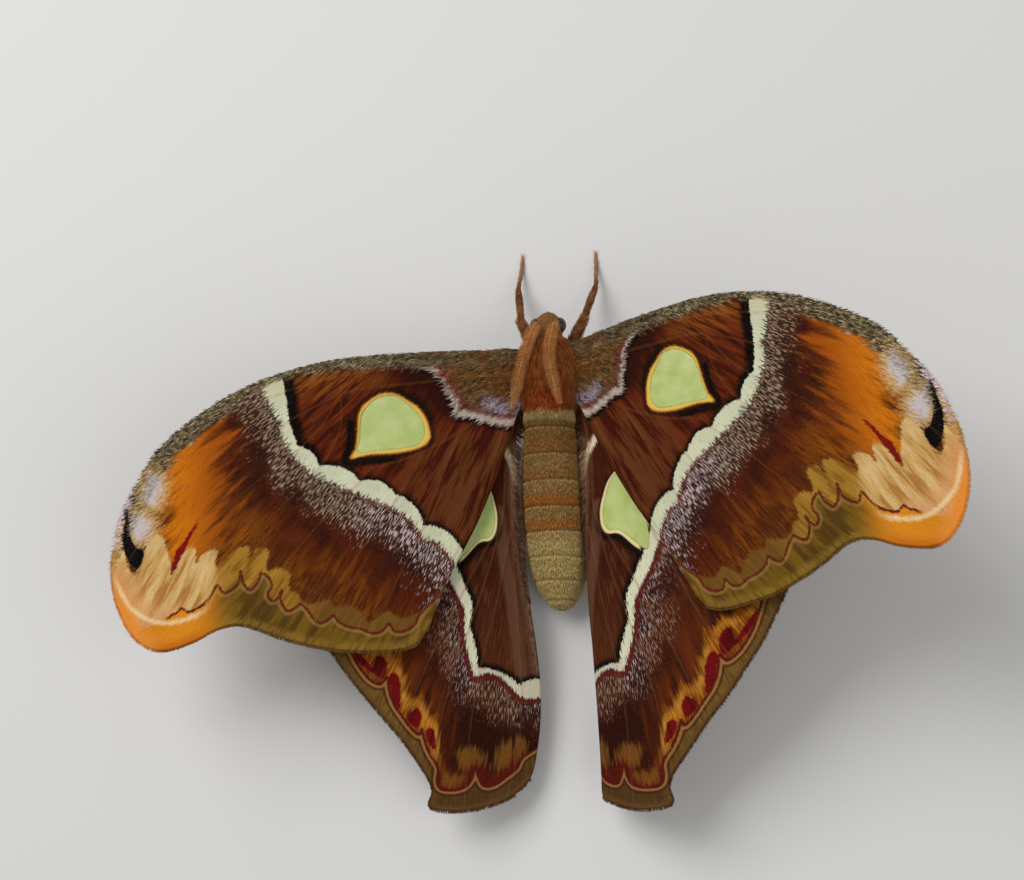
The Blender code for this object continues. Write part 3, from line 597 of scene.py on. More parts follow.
def forewing_pattern(tree):
    """The forewing's colours, laid one over another from the ground up."""
    place = node(tree, "ShaderNodeSeparateXYZ", {0: read(tree, "flat", "Vector")})
    u, v = place.outputs["X"], place.outputs["Y"]
    marks, tips = strokes_along(tree, "flow"), strokes_along(tree, "tipflow")
    hair, thread, streak, blotch = [marks[word] for word in ("Hair", "Thread", "Streak", "Blotch")]
    inner, outer = strayed(tree, "inner", hair, 0.7), strayed(tree, "outer", hair, 2.4)
    costa, base = strayed(tree, "costa", thread, 2.6), strayed(tree, "base", hair, 1.0)
    vein, window, margin, beyond = [read(tree, word) for word in ("vein", "window", "margin", "beyond")]
    # Chestnut field between the body and the band, with the window's golden rim
    wide = graded(tree, v, 1.3, 3.3, -17, -5)
    gold = layers(tree, (156, 92, 14), ((216, 180, 84), (window, 0.2, 0.9)))
    field = layers(
        tree, (60, 14, 4), ((98, 37, 10), (streak, 0.15, 0.85)),
        ((36, 9, 4), (thread, 0.4, 0.0), 0.5), ((128, 68, 26), (thread, 0.66, 0.98), 0.24),
        ((92, 56, 26), (u, 42, 16), (v, -4, -14), (streak, 0.2, 0.8), 0.75),
        ((140, 80, 22), (costa, -9, -1), (u, 32, 47), (thread, 0.1, 0.8), 0.65),
        ((38, 8, 4), (base, 12, 3.5), (v, -7, 0), 0.94),
        ((8, 4, 3), (strayed(tree, "behind", hair, 0.8), 1.7, 0.6)),
        ((14, 6, 4), (window, -3.2, -0.7), (u, 39, 32), (v, -8, -3), 0.9),
        ((26, 9, 4), (window, -1.6, -0.3), 0.7),
        (gold, (strayed(tree, "window", hair, 0.5), -0.1, 0.5)),
        ((9, 4, 3), (sums(tree, "SUBTRACT", wide, inner), -0.8, 1.1)))
    # Beyond the band: frosting on dark brown, then maroon brown, then orange brown
    warm = strayed(tree, "outer", streak, 10)
    thick = product(tree, (outer, 0.2, 2.2), (strayed(tree, "outer", blotch, 8), 16, 3))
    level = graded(tree, thick, 1.05, 0.42)
    frost = layers(tree, (152, 130, 108), ((188, 168, 166), (u, 56, 32)))
    far = layers(
        tree, (58, 32, 20), ((74, 24, 6), (outer, 6, 13)),
        ((42, 15, 7), (blotch, 0.4, 0.8), 0.75), ((30, 12, 7), (thread, 0.45, 0.05), 0.5),
        ((104, 50, 7), (warm, 13, 26), 0.95), ((130, 76, 12), (warm, 21, 33), (thread, 0.25, 0.85), 0.85),
        ((62, 24, 6), (warm, 12, 20), (thread, 0.5, 0.1), 0.7),
        ((58, 22, 6), (blotch, 0.55, 0.9), (warm, 12, 20), 0.6),
        (frost, (sums(tree, "SUBTRACT", hair, level), -0.05, 0.4), 0.9))
    # The orange field near the tip
    glow = strayed(tree, "orange", streak, 11)
    rich = layers(tree, (158, 78, 8), ((202, 112, 12), (u, 84, 98)),
                  ((150, 62, 6), (tips["Thread"], 0.5, 0.1), 0.4))
    # White band, crossed by the veins; the line outside it is wine red
    white = layers(tree, (200, 201, 170), ((172, 166, 134), (hair, 0.7, 1.0), 0.6),
                   ((206, 166, 146), (vein, 0.0, -0.25), 0.4), ((188, 178, 138), (v, 0, 7), 0.7))
    shown = layers(
        tree, field, (far, (outer, -0.3, 0.3)), (rich, (glow, -4.5, 6.0), 0.92),
        (white, (inner, 0.15, -0.15), (outer, 0.7, -0.5), (costa, 2.4, -1.0)),
        ((92, 26, 30), (strayed(tree, "outer", hair, 1.0), 1.3, 0.5),
         (strayed(tree, "outer", hair, 1.0), -0.2, 0.3), (u, 60, 38), 0.85))
    # Wing base: olive brown with pale and rusty hairs, closed by a white line
    root = layers(
        tree, (104, 74, 36), ((160, 124, 72), (hair, 0.4, 0.9)), ((48, 32, 18), (hair, 0.35, 0.05), 0.8),
        ((146, 80, 26), (streak, 0.45, 0.8), 0.6),
        ((152, 58, 66), (base, -4.6, -2.4), (thread, 0.1, 0.6), 0.8),
        ((190, 180, 198), (base, -9, -5), (base, -3, -4.6), (u, 12, 6), (hair, 0.2, 0.6)))
    # Front edge: grey brown, covered with fine hair
    edge = layers(
        tree, (92, 78, 54), ((164, 148, 114), (hair, 0.42, 0.95)), ((38, 28, 18), (hair, 0.4, 0.08)),
        ((138, 84, 34), (u, 34, 8), (streak, 0.2, 0.8), 0.6))
    thin = graded(tree, v, -2.3, -1.2, -2, 6)
    shown = layers(
        tree, shown, (root, (base, 0.1, -0.3)),
        ((218, 204, 190), (sums(tree, "SUBTRACT", base, thin), -0.5, 0.5), (base, 0.0, -0.5)),
        ((10, 5, 4), (base, 2.2, 0.8), (base, -0.1, 0.3)), (edge, (costa, -1.0, 1.2)))
    # Tan tip with its fingers, the yellowish lobes that follow, and the margin
    tan = layers(
        tree, (158, 114, 40), ((122, 84, 22), (streak, 0.3, 0.8)), ((96, 64, 24), (u, 70, 56), 0.8),
        ((190, 148, 84), (u, 83, 89)), ((210, 176, 120), (tips["Streak"], 0.35, 0.8), (u, 83, 89), 0.85),
        ((158, 100, 40), (tips["Streak"], 0.4, 0.12), (margin, 2, 9), (u, 82, 88), 0.75),
        ((150, 92, 40), (tips["Thread"], 0.3, 0.0), (margin, 2, 9), (u, 82, 88), 0.35),
        ((206, 142, 92), (read(tree, "cream"), 7, 1.5), (u, 92, 99), 0.6))
    skirt = layers(
        tree, (108, 80, 20), ((78, 54, 16), (streak, 0.3, 0.9)),
        ((136, 104, 40), (margin, 3.4, 1.2), (thread, 0.1, 0.7), 0.7), ((206, 128, 26), (u, 80, 92)),
        ((184, 92, 18), (margin, 3.2, 0.8), (u, 84, 94), 0.7), ((84, 50, 18), (margin, 0.6, 0.1), 0.55))
    stroke = sums(tree, "SUBTRACT", strayed(tree, "wavy", hair, 0.35),
                  sums(tree, "MULTIPLY", product(tree, (blotch, 0.4, 0.8), (u, 82, 94)), 0.8))
    shown = layers(
        tree, shown, (tan, (strayed(tree, "fingers", hair, 0.8), -0.5, 0.45)),
        (skirt, (beyond, -0.1, 0.3), (u, 18, 28)),
        ((218, 134, 48), (margin, 5.5, 1.5), (u, 100, 106), (v, -44, -56)),
        ((226, 194, 142), (strayed(tree, "cream", hair, 0.5), 1.1, 0.1), (u, 86, 93), (v, -45, -51), 0.9),
        ((196, 150, 92), (sums(tree, "ABSOLUTE", sums(tree, "SUBTRACT", beyond, 0.85)), 0.6, 0.15),
         (u, 96, 84), (u, 20, 30), 0.22),
        ((92, 30, 18), (stroke, 0.5, 0.2), (u, 101, 98.5)),
        # Marks of the tip
        ((196, 162, 104), (strayed(tree, "pale", hair, 3.0), -3.6, 0.2), (margin, 2.4, 4.4), 0.75),
        ((188, 182, 188), (strayed(tree, "pale", hair, 3.2), -0.6, 2.4), 0.85),
        ((214, 192, 198), (strayed(tree, "rosy", hair, 2.4), -0.8, 0.9), 0.92),
        ((7, 6, 7), (strayed(tree, "comma", hair, 0.4), -0.25, 0.2)),
        ((112, 12, 10), (strayed(tree, "streak", hair, 0.6), -0.25, 0.3)),
        ((148, 96, 50), (vein, 0.0, -0.25), 0.1))
    return shown


# Hindwing pattern: the same field, window and band, with dark red spots in orange brown lobes
# along the margin, a wavy double line and an olive edge, and mauve hair beside the body.
HIND_FLOW = (-4.0, 10.0)
HIND_BAND_TOP = [(37, -14), (33, -19), (28.5, -27), (24, -34.5), (20.1, -40.7), (18.5, -45.2),
                 (17.1, -48.4), (15.7, -52.1), (14.4, -55.0), (14.4, -58.9), (15.1, -62.3), (14.0, -66.3),
                 (13.2, -70.6), (12.9, -74.2)]
HIND_BAND_CUSPS = [(12.9, -74.2), (1.3, -79.3), (-7, -78)]
HIND_BAND_OUTER = [(41, -17), (36, -25), (31, -33), (26.5, -39), (23.3, -43.5), (21.1, -48.3),
                   (19.7, -51.5), (17.8, -55.5), (16.7, -58.3), (16.9, -62.8), (16.5, -67.7), (15.4, -72.5),
                   (14.2, -76.8), (11.9, -76.4), (9.0, -76.3), (6.2, -77.6), (3.7, -80.3), (1.1, -82.9),
                   (-1.8, -83.6), (-8, -83)]
HIND_WINDOW = [(11.4, -21.7), (8.6, -23.5), (7.2, -27.8), (6.6, -31.6), (7.1, -35.6), (8.8, -38.2),
               (12.0, -38.8), (16.6, -43.4), (20.6, -46), (20.4, -38), (15, -27)]
HIND_PANE = [(11.3, -22.6), (9.0, -24.3), (7.9, -28.0), (7.3, -31.8), (7.8, -35.3), (9.2, -37.3),
             (12.2, -38.0), (16.6, -42.2), (19.8, -44.6), (19.6, -38), (14.6, -27.8)]
HIND_BASE_LINE = [(10, -7), (6.6, -9.4), (4.6, -12.9), (3.2, -15.5), (2.1, -19.8), (1.1, -24.4)]
HIND_WARM = [(66, -54), (56, -62), (49.1, -65.0), (42.9, -66.4), (37.3, -68.0), (34.0, -71.6),
             (33.5, -76.0), (34.2, -80.6), (31.3, -81.7), (28.0, -81.9), (27.2, -86.6), (24.6, -88.4),
             (24.1, -93.0), (24.4, -98.5), (26, -104), (25, -112)]
HIND_WAVY = [(62, -46), (58, -53), (56.5, -56), (54, -60), (51.6, -63), (48.6, -69.5), (46.4, -73.5),
             (43.6, -76.9), (40.8, -78.1), (38.8, -76.2), (38.3, -79.8), (37.0, -83.8), (34.8, -87.2),
             (32.3, -90.6), (30.1, -92.6), (29.2, -91.0), (28.4, -94.6), (27.1, -98.0), (24.9, -102.0),
             (25.2, -105.6), (24.1, -107.9), (20.2, -108.3), (17.0, -107.3), (15.3, -105.1), (14.4, -102.0),
             (13.3, -105.2), (11.9, -107.4), (9.1, -107.3), (5.6, -105.1), (2.4, -102.7), (0.6, -99.7),
             (-6, -96)]
HIND_SPOTS = [
    [(48.6, -68.4), (46.3, -69.5), (44.1, -71.8), (42.7, -73.5), (41.8, -70.2), (40.4, -69.9), (38.8, -71.9),
     (38.8, -74.8), (40.3, -76.7), (42.5, -75.2), (45.3, -73.5), (47.5, -71.2)],
    [(38.5, -75.9), (37.1, -74.8), (35.4, -76.0), (34.9, -79.3), (35.0, -83.3), (35.6, -85.2), (37.3, -83.2),
     (38.0, -79.8)],
    [(33.7, -87.2), (32.2, -85.9), (30.2, -85.1), (29.1, -86.8), (29.5, -89.0), (30.6, -90.7),
     (32.3, -89.8)],
    [(28.4, -91.8), (26.9, -90.5), (25.8, -91.1), (25.3, -94.7), (25.1, -97.5), (26.2, -96.9),
     (27.6, -94.7)],
    [(53.6, -56), (53.0, -60.5), (50.4, -62), (49.6, -58), (51.4, -55)]]
HIND_LOBES = [
    [(25.1, -97.0), (23.7, -100.4), (24.1, -103.7), (24.9, -105.4), (25.4, -101)],
    [(19.2, -100.5), (18.6, -97.7), (16.3, -96.7), (13.4, -97.0), (11.8, -99.3), (12.1, -101.3),
     (13.8, -100.7),
     (15.8, -101.7), (17.5, -102.8)],
    [(9.0, -103.6), (8.6, -99.4), (7.1, -96.4), (4.8, -95.0), (3.1, -97.1), (3.8, -100.4), (5.8, -102.6)],
    [(2.8, -94.8), (1.1, -94.3), (-0.6, -96.1), (0.6, -99.4), (2.6, -101.0)],
    [(23.2, -103.2), (21.0, -104.4), (18.4, -103.9), (17.9, -105.6), (20.2, -107.2), (22.7, -106.8)]]
HIND_INNER_EDGE = [(-1.4, -106), (-4, -96), (-5, -84), (-4.4, -72), (-2.6, -58), (-0.6, -44), (0.9, -26),
                   (0.8, -12)]
HIND_STRIPE = [(6.5, -30), (4.7, -43.8), (2.9, -55.2), (1.6, -66.6), (0.9, -73.7), (0.5, -77)]
HIND_OUTER_EDGE = [(60.6, -42), (62.6, -51), (59.6, -60), (51, -73.5), (42, -85), (35, -93.5), (29, -102.4),
                   (26.6, -107.8), (27.4, -112.6), (22, -114.2), (13, -113.6), (4.3, -110.8), (-1.4, -106)]


def hindwing_fields(flat, crests):
    """What the hindwing's material reads at each point, in millimetres."""
    inner = np.vstack([curve_through(HIND_BAND_TOP, 1.0)[:-1], scallops(HIND_BAND_CUSPS, -0.11)])
    wavy = curve_through(HIND_WAVY, 0.6)
    return {
        "flow": flow_of(flat, HIND_FLOW), "flat": np.column_stack([flat, np.zeros(len(flat))]),
        "vein": vein_field(flat, crests)[0],
        "inner": -line_field(flat, inner), "outer": line_field(flat, curve_through(HIND_BAND_OUTER, 1.0)),
        "window": patch_field(flat, HIND_WINDOW),
        "base": line_field(flat, curve_through(HIND_BASE_LINE, 1.0)),
        "warm": line_field(flat, curve_through(HIND_WARM, 1.0)),
        "wavy": nearest(flat, wavy)[0], "beyond": line_field(flat, wavy),
        "spots": np.max([patch_field(flat, spot) for spot in HIND_SPOTS], axis=0),
        "lobes": np.max([patch_field(flat, lobe) for lobe in HIND_LOBES], axis=0),
        "stripe": nearest(flat, curve_through(HIND_STRIPE, 1.0))[0],
        "hem": nearest(flat, curve_through(HIND_INNER_EDGE, 1.5))[0],
        "margin": nearest(flat, curve_through(HIND_OUTER_EDGE, 1.0))[0]}


def hindwing_pattern(tree):
    """The hindwing's colours, laid one over another from the ground up."""
    place = node(tree, "ShaderNodeSeparateXYZ", {0: read(tree, "flat", "Vector")})
    u, v = place.outputs["X"], place.outputs["Y"]
    marks = strokes_along(tree, "flow")
    hair, thread, streak, blotch = [marks[word] for word in ("Hair", "Thread", "Streak", "Blotch")]
    inner, outer, base = [strayed(tree, word, hair, 0.9) for word in ("inner", "outer", "base")]
    window, beyond, margin = [read(tree, word) for word in ("window", "beyond", "margin")]
    # Field, window and band
    field = layers(
        tree, (60, 21, 7), ((82, 40, 18), (v, -45, -72), 0.8), ((34, 10, 5), (thread, 0.42, 0.05), 0.6),
        ((110, 66, 36), (thread, 0.64, 0.95), 0.45), ((96, 66, 46), (read(tree, "stripe"), 2.6, 1.0), 0.7),
        ((10, 4, 3), (strayed(tree, "window", hair, 0.6), -2.6, -0.9), (v, -29, -38)),
        ((34, 12, 6), (window, -0.8, -0.3), 0.8), ((222, 204, 146), (window, -0.15, 0.25)),
        ((8, 4, 3), (inner, 2.2, 0.5)),
        ((224, 204, 168), (base, -2.0, -1.0), (base, 0.6, 0.0), (v, -8.5, -11), (v, -25, -21)))
    # Beyond the band: frosting, dark maroon, and rust round the spots
    thick = product(tree, (outer, 0.2, 2.2), (strayed(tree, "outer", blotch, 8), 15, 2))
    level = graded(tree, thick, 1.05, 0.5)
    frost = layers(tree, (146, 116, 94), ((182, 158, 156), (blotch, 0.2, 0.8)))
    warm = strayed(tree, "warm", streak, 3)
    rust = layers(tree, (112, 56, 6), ((172, 106, 22), (thread, 0.35, 0.9)),
                  ((184, 126, 44), (read(tree, "spots"), -3, -0.6), (warm, 4, 1), 0.75),
                  ((96, 38, 8), (warm, 3, 7), 0.7))
    far = layers(
        tree, (66, 32, 16), ((44, 10, 3), (outer, 5, 12), (v, -66, -80)), ((80, 32, 8), (u, 16, 28), 0.8),
        ((38, 14, 6), (blotch, 0.4, 0.8), 0.6), ((30, 10, 5), (thread, 0.45, 0.05), 0.5),
        (frost, (sums(tree, "SUBTRACT", hair, level), -0.05, 0.4), 0.85),
        ((96, 40, 8), (warm, -7, -0.5), (streak, 0.2, 0.8), 0.8), (rust, (warm, -1.0, 1.0)))
    white = layers(tree, (210, 208, 176), ((186, 176, 156), (v, -72, -76), 0.6),
                   ((176, 160, 130), (hair, 0.7, 1.0), 0.6),
                   ((208, 170, 150), (read(tree, "vein"), 0.0, -0.2), 0.6))
    # Margin: spots, lobes, wavy double line and olive edge
    skirt = layers(
        tree, (88, 64, 24), ((112, 84, 38), (thread, 0.3, 0.8)), ((66, 42, 20), (v, -94, -106), 0.75),
        ((96, 66, 32), (margin, 2.2, 0.6), 0.8), ((60, 36, 16), (margin, 0.6, 0.1), 0.55))
    red = layers(tree, (104, 6, 9), ((66, 4, 8), (streak, 0.4, 0.9)))
    lines = [(tint, (sums(tree, "ABSOLUTE", sums(tree, "SUBTRACT", beyond, at)), wide, 0.1), share)
             for tint, at, wide, share in (((160, 106, 58), 0.75, 0.5, 0.7), ((62, 26, 14), 1.5, 0.5, 0.75))]
    shown = layers(
        tree, field, (far, (outer, -0.2, 0.2)), (white, (inner, 0.0, -0.3), (outer, 0.0, -0.6)),
        ((96, 24, 26), (outer, 1.5, 0.6), (outer, -0.1, 0.3), 0.85),
        ((92, 18, 8), (beyond, -4.5, -1.2), (u, 27, 23), (v, -98, -102), 0.7),
        ((120, 76, 26), (strayed(tree, "lobes", thread, 2.4), -1.3, 1.2), 0.72),
        (red, (strayed(tree, "spots", hair, 0.5), -0.15, 0.3)), (skirt, (beyond, -0.1, 0.3)), *lines,
        ((78, 16, 14), (strayed(tree, "wavy", hair, 0.3), 0.5, 0.2)))
    # Mauve hair along the edge beside the body
    ragged = strayed(tree, "hem", hair, 3)
    mauve = layers(tree, (84, 56, 38), ((138, 106, 84), (hair, 0.3, 0.9)))
    return layers(
        tree, shown, (mauve, (ragged, 3.4, 1.4), (beyond, -1, -3), (inner, 0.3, 2.0), 0.85),
        ((140, 94, 62), (read(tree, "vein"), 0.0, -0.25), 0.14))


# Windows: bare membrane without scales, one in each wing, clear and faintly green. Each is the
# wing's own sheet, grown thinner, and meets the scaled part along its rim.
PANE_HALF = 0.07
pane_film, pane_tree, pane_shader = new_finish("window_film")
pane_grain = node(pane_tree, "ShaderNodeTexNoise", {
    "Vector": node(pane_tree, "ShaderNodeTexCoord").outputs["Object"], "Scale": 160.0, "Detail": 2.0})
pane_tint = layers(pane_tree, (182, 200, 104), ((200, 210, 132), (pane_grain.outputs["Fac"], 0.35, 0.65)))
pane_tree.links.new(pane_tint, pane_shader.inputs["Base Color"])
pane_tree.links.new(graded(pane_tree, pane_grain.outputs["Fac"], 0.58, 0.76), pane_shader.inputs["Alpha"])
pane_shader.inputs["Roughness"].default_value = 0.22

# Where each wing lies on its bake map: lower corner, scale and step to the lower face
FORE_UV = (np.array((-3.0, -70.0)), 0.0054, (0.0, 0.49))
HIND_UV = (np.array((-6.0, -115.0)), 0.0068, (0.49, 0.0))
KINDS = {
    "forewing": (FOREWING_EDGE, FOREWING_VEINS, FORE_PANE, forewing_fields, forewing_pattern, FORE_UV,
                 (LEFT_FOREWING, RIGHT_FOREWING)),
    "hindwing": (HINDWING_EDGE, HINDWING_VEINS, HIND_PANE, hindwing_fields, hindwing_pattern, HIND_UV,
                 (LEFT_HINDWING, RIGHT_HINDWING))}

wing_stock = {}
for kind, (edge, veins, pane, fields_of, pattern, uv_span, poses) in KINDS.items():
    pane_loop = curve_through(pane, SCALE_STEP, closed=True)
    pane_loop = np.vstack([pane_loop, pane_loop[:1]])
    flat, faces, crests = flat_wing(edge, veins, pane_loop)
    fields = fields_of(flat, crests)
    _, across, share = vein_field(flat, crests)
    rise = VEIN_RISE[0] + (VEIN_RISE[1] - VEIN_RISE[0]) * share
    half = MEMBRANE_HALF + rise * np.cos(np.clip(across, 0, 1) * math.pi / 2) ** 2
    gap = np.maximum(0, fields["vein"])
    lift = -SAG * (1 - np.exp(-(gap / SAG_REACH) ** 2)) * np.clip(share * 3, 0, 1)
    wing_stock[kind] = flat, half, lift, fields
    finish = scaled_material(kind + "_scales", pattern)
    centres = flat[faces].mean(1)
    clear = within(centres, pane_loop)
    for side, pose in zip(("left", "right"), poses):
        membrane = sheet(kind + "_" + side + ".scaled", flat, faces[~clear], pose, lift, half, fields,
                         uv_span)
        membrane.data.materials.append(finish)
        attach(membrane, "root")
        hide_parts(kind + "_" + side)
        window = sheet(kind + "_" + side + ".window", flat, faces[clear], pose, lift,
                       np.full(len(flat), PANE_HALF), {}, uv_span)
        window.data.materials.append(pane_film)
        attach(window, "root")

# Body: head, thorax and abdomen under one coat. One skin runs through all three, so that no seam
# shows, and lies under the coat by the length that the flattened hair stands up.
NECK = 20.0
COAT_DEPTH = 0.95
BELLY_DEPTH = 0.55
COAT_ALONG = [(-57, 0.4), (-50, BELLY_DEPTH), (-8, BELLY_DEPTH), (0, COAT_DEPTH), (16, COAT_DEPTH),
              (22, 0.5), (27.2, 0.25)]
SKIN_GROUND = 0.12                      # how near the skin comes to the floor
BODY_LINE = [(-57.6, 1.5, 1.7, 6.6), (-56.6, 3.3, 3.2, 6.7), (-55, 4.7, 4.7, 6.8), (-50, 7.5, 6.9, 7.3),
             (-44, 9.1, 8.3, 8.1), (-36, 9.9, 9.1, 9.2), (-26, 10.0, 9.4, 10.8), (-16, 9.2, 9.2, 12.9),
             (-7, 8.2, 8.6, 15.3), (-1.5, 8.0, 8.6, 16.8), (2, 9.0, 9.2, 17.0), (5.5, 9.8, 9.6, 17.4),
             (10.5, 9.9, 9.5, 18.0), (14.5, 9.1, 8.9, 18.6), (17.6, 7.2, 7.4, 19.0), (NECK, 4.7, 5.0, 19.5),
             (21.4, 4.5, 4.6, 19.6), (23.2, 4.3, 4.3, 19.4), (25.2, 3.3, 3.4, 19.1), (26.6, 1.8, 2.1, 18.8),
             (27.2, 0.7, 0.9, 18.7)]
ABDOMEN_JOINTS = [-5.8, -13.2, -20.6, -28.0, -35.0, -42.0, -48.6, -54.2]
ABDOMEN_FRONT, ABDOMEN_END, HEAD_END = -1.15, -57.6, 27.2
ABDOMEN_SWAY = 1.6
JOINT_DEPTH = 0.5
SKIN_SIDES = 72
SKIN_STEP = 0.55
body_line = curve_through(BODY_LINE, 0.5)


def body_size(y):
    """Half width, half height, height of the middle and sideways lean of the bare skin at y."""
    depth = np.interp(y, *zip(*COAT_ALONG))
    wide, high, middle = [np.interp(y, body_line[:, 0], body_line[:, k]) for k in (1, 2, 3)]
    for joint in ABDOMEN_JOINTS:
        ahead = y - joint
        depth = depth + JOINT_DEPTH * np.exp(-np.abs(ahead) / np.where(ahead > 0, 0.5, 1.6))
    lean = ABDOMEN_SWAY * (np.minimum(0, y - ABDOMEN_FRONT) / (ABDOMEN_END - ABDOMEN_FRONT)) ** 2
    return np.maximum(wide - depth, 0.25), np.maximum(high - depth, 0.25), middle, lean


def body_place(turn, y):
    """A point of the skin: turn is 0 on the back and a quarter turn on the right side."""
    wide, high, middle, lean = body_size(y)
    up = np.maximum(middle + high * np.cos(turn), SKIN_GROUND)
    return np.column_stack([lean + wide * np.sin(turn), y, up])


def body_normal(turn, y):
    """The way that the skin looks."""
    around = body_place(turn + 0.02, y) - body_place(turn - 0.02, y)
    ahead = body_place(turn, y + 0.3) - body_place(turn, y - 0.3)
    normal = np.cross(ahead, around)
    outward = body_place(turn, y) - np.column_stack([y * 0, y, body_size(y)[2]])
    normal *= np.sign((normal * outward).sum(1))[:, None]
    return normal / np.maximum(np.linalg.norm(normal, axis=1), 1e-9)[:, None]


def ring_share(y):
    """How far through its own ring of the abdomen a place is, from 0 in front to 1 behind."""
    edges = np.array([ABDOMEN_FRONT] + ABDOMEN_JOINTS + [ABDOMEN_END - 4])
    at = np.clip(np.searchsorted(-edges, -y) - 1, 0, len(edges) - 2)
    return np.clip((edges[at] - y) / (edges[at] - edges[at + 1]), 0, 1)


def body_fields(places):
    """What the coat's material reads at each point."""
    return {"root": places, "ring": ring_share(places[:, 1])}


bpy.ops.object.select_all(action="DESELECT")
skin_ys = np.arange(ABDOMEN_END, HEAD_END, SKIN_STEP)
last = np.array([float(v) for v in body_size(skin_ys[0])])
tail = placed((last[3], skin_ys[0], last[2]))
bpy.ops.mesh.primitive_circle_add(vertices=SKIN_SIDES, radius=MM, fill_type="NGON",
                                  rotation=(math.pi / 2, 0, 0), location=tail)
skin = bpy.context.object
skin.name = "body_skin"
bpy.ops.object.transform_apply(location=True, rotation=True, scale=True)
bpy.ops.object.mode_set(mode="EDIT")
bpy.ops.mesh.select_all(action="SELECT")
bpy.ops.transform.resize(value=(last[0], 1, last[1]), center_override=tail)
for back, y in zip(skin_ys[:-1], skin_ys[1:]):
    size = np.array([float(v) for v in body_size(y)])
    shift = np.array((size[3] - last[3], y - back, size[2] - last[2])) * MM
    bpy.ops.mesh.extrude_region_move(TRANSFORM_OT_translate={"value": tuple(shift)})
    bpy.ops.transform.resize(value=(size[0] / last[0], 1, size[1] / last[1]),
                             center_override=tuple(placed((size[3], y, size[2]))))
    last = size
bpy.ops.mesh.select_all(action="SELECT")
bpy.ops.mesh.normals_make_consistent(inside=False)
bpy.ops.object.mode_set(mode="OBJECT")
bpy.ops.object.shade_smooth()
skin_places = np.array([tuple(v.co) for v in skin.data.vertices]) / MM + ORIGIN
for vert, place in zip(skin.data.vertices, skin_places):
    vert.co.z = max(place[2], SKIN_GROUND) * MM
carry(skin.data, body_fields(skin_places))


def body_unwrap(places):
    """Place on the bake map: round the body one way and along it the other, cut along the belly."""
    _, _, middle, lean = body_size(places[:, 1])
    turn = np.arctan2(places[:, 0] - lean, places[:, 2] - middle)
    return np.column_stack([0.5 + turn / (2 * math.pi) * 0.96, 0.02 + 0.96 * (places[:, 1] + 58) / 88])


skin_map = skin.data.uv_layers.new(name="OFBake")
skin_spots = body_unwrap(skin_places)
for face in skin.data.polygons:
    spots = skin_spots[list(face.vertices)]
    if np.ptp(spots[:, 0]) > 0.5 and len(face.vertices) < 6:
        spots[spots[:, 0] < 0.5, 0] += 0.96
        spots[:, 0] = np.minimum(spots[:, 0], 0.995)
    for corner, spot in zip(face.loop_indices, spots):
        skin_map.uv[corner].vector = spot


# Coat: hair and hair-like scales over the whole body, as thin pointed tufts that lie backward and
# overlap. Long and rusty on the thorax, a pale collar behind it, short and banded on the abdomen.
TUFT_FACES = np.array([(0, 1, 2), (0, 2, 3), (2, 5, 3), (2, 1, 5), (1, 4, 5), (1, 0, 4), (0, 3, 4),
                       (3, 5, 6), (5, 4, 6), (4, 3, 6)])
TUFT_PATCH = np.array([(-1, -1), (1, -1), (0, -0.7), (-0.7, 0.2), (0.7, 0.2), (0, 0.3), (0, 1)]) * 0.0014
PIECE_TUFTS = 19000                     # the most that one piece holds
TUFT_GROUND = 0.05                      # how near they come to the floor


def unit(vectors):
    """The same directions, each one long."""
    return vectors / np.maximum(np.linalg.norm(vectors, axis=1), 1e-9)[:, None]


def tufts(name, roots, normals, lie, length, width, steep, spots, shade, finish, fields):
    """Pointed tufts that rise from their roots and bend along the lie of the coat, in joined pieces."""
    count = math.ceil(len(roots) / PIECE_TUFTS)
    lie = unit(lie - normals * (lie * normals).sum(1)[:, None])
    side = np.cross(lie, normals)
    for k in range(count):
        pick = slice(k, None, count)
        root, up, along, out = roots[pick], normals[pick], lie[pick], side[pick]
        far, wide, rise = length[pick, None], width[pick, None], steep[pick, None]
        middle = root + (along * np.cos(rise) + up * np.sin(rise)) * far * 0.5
        tip = middle + (along * np.cos(rise * 0.35) + up * np.sin(rise * 0.35)) * far * 0.5
        sunk = root - up * 0.15
        points = np.stack([sunk - out * wide / 2, sunk + out * wide / 2, sunk + up * wide * 0.4,
                           middle - out * wide * 0.4, middle + out * wide * 0.4,
                           middle + up * wide * 0.35, tip], 1)
        points[:, :, 2] = np.maximum(points[:, :, 2], TUFT_GROUND)
        total = len(root)
        faces = (np.arange(total)[:, None, None] * 7 + TUFT_FACES[None]).reshape(-1, 3)
        uv = (spots[pick, None] + TUFT_PATCH[None]).reshape(-1, 2)[faces]
        own = {"shade": np.repeat(shade[pick], 7), "tip": np.tile((0, 0, 0, 0.5, 0.5, 0.5, 1.0), total)}
        own.update({word: np.repeat(values[pick], 7, axis=0) for word, values in fields.items()})
        own_name = name if count == 1 else name + "." + str(k + 1)
        piece = mesh_piece(own_name, points.reshape(-1, 3), faces, uv, own)
        piece.data.materials.append(finish)
        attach(piece, "root")


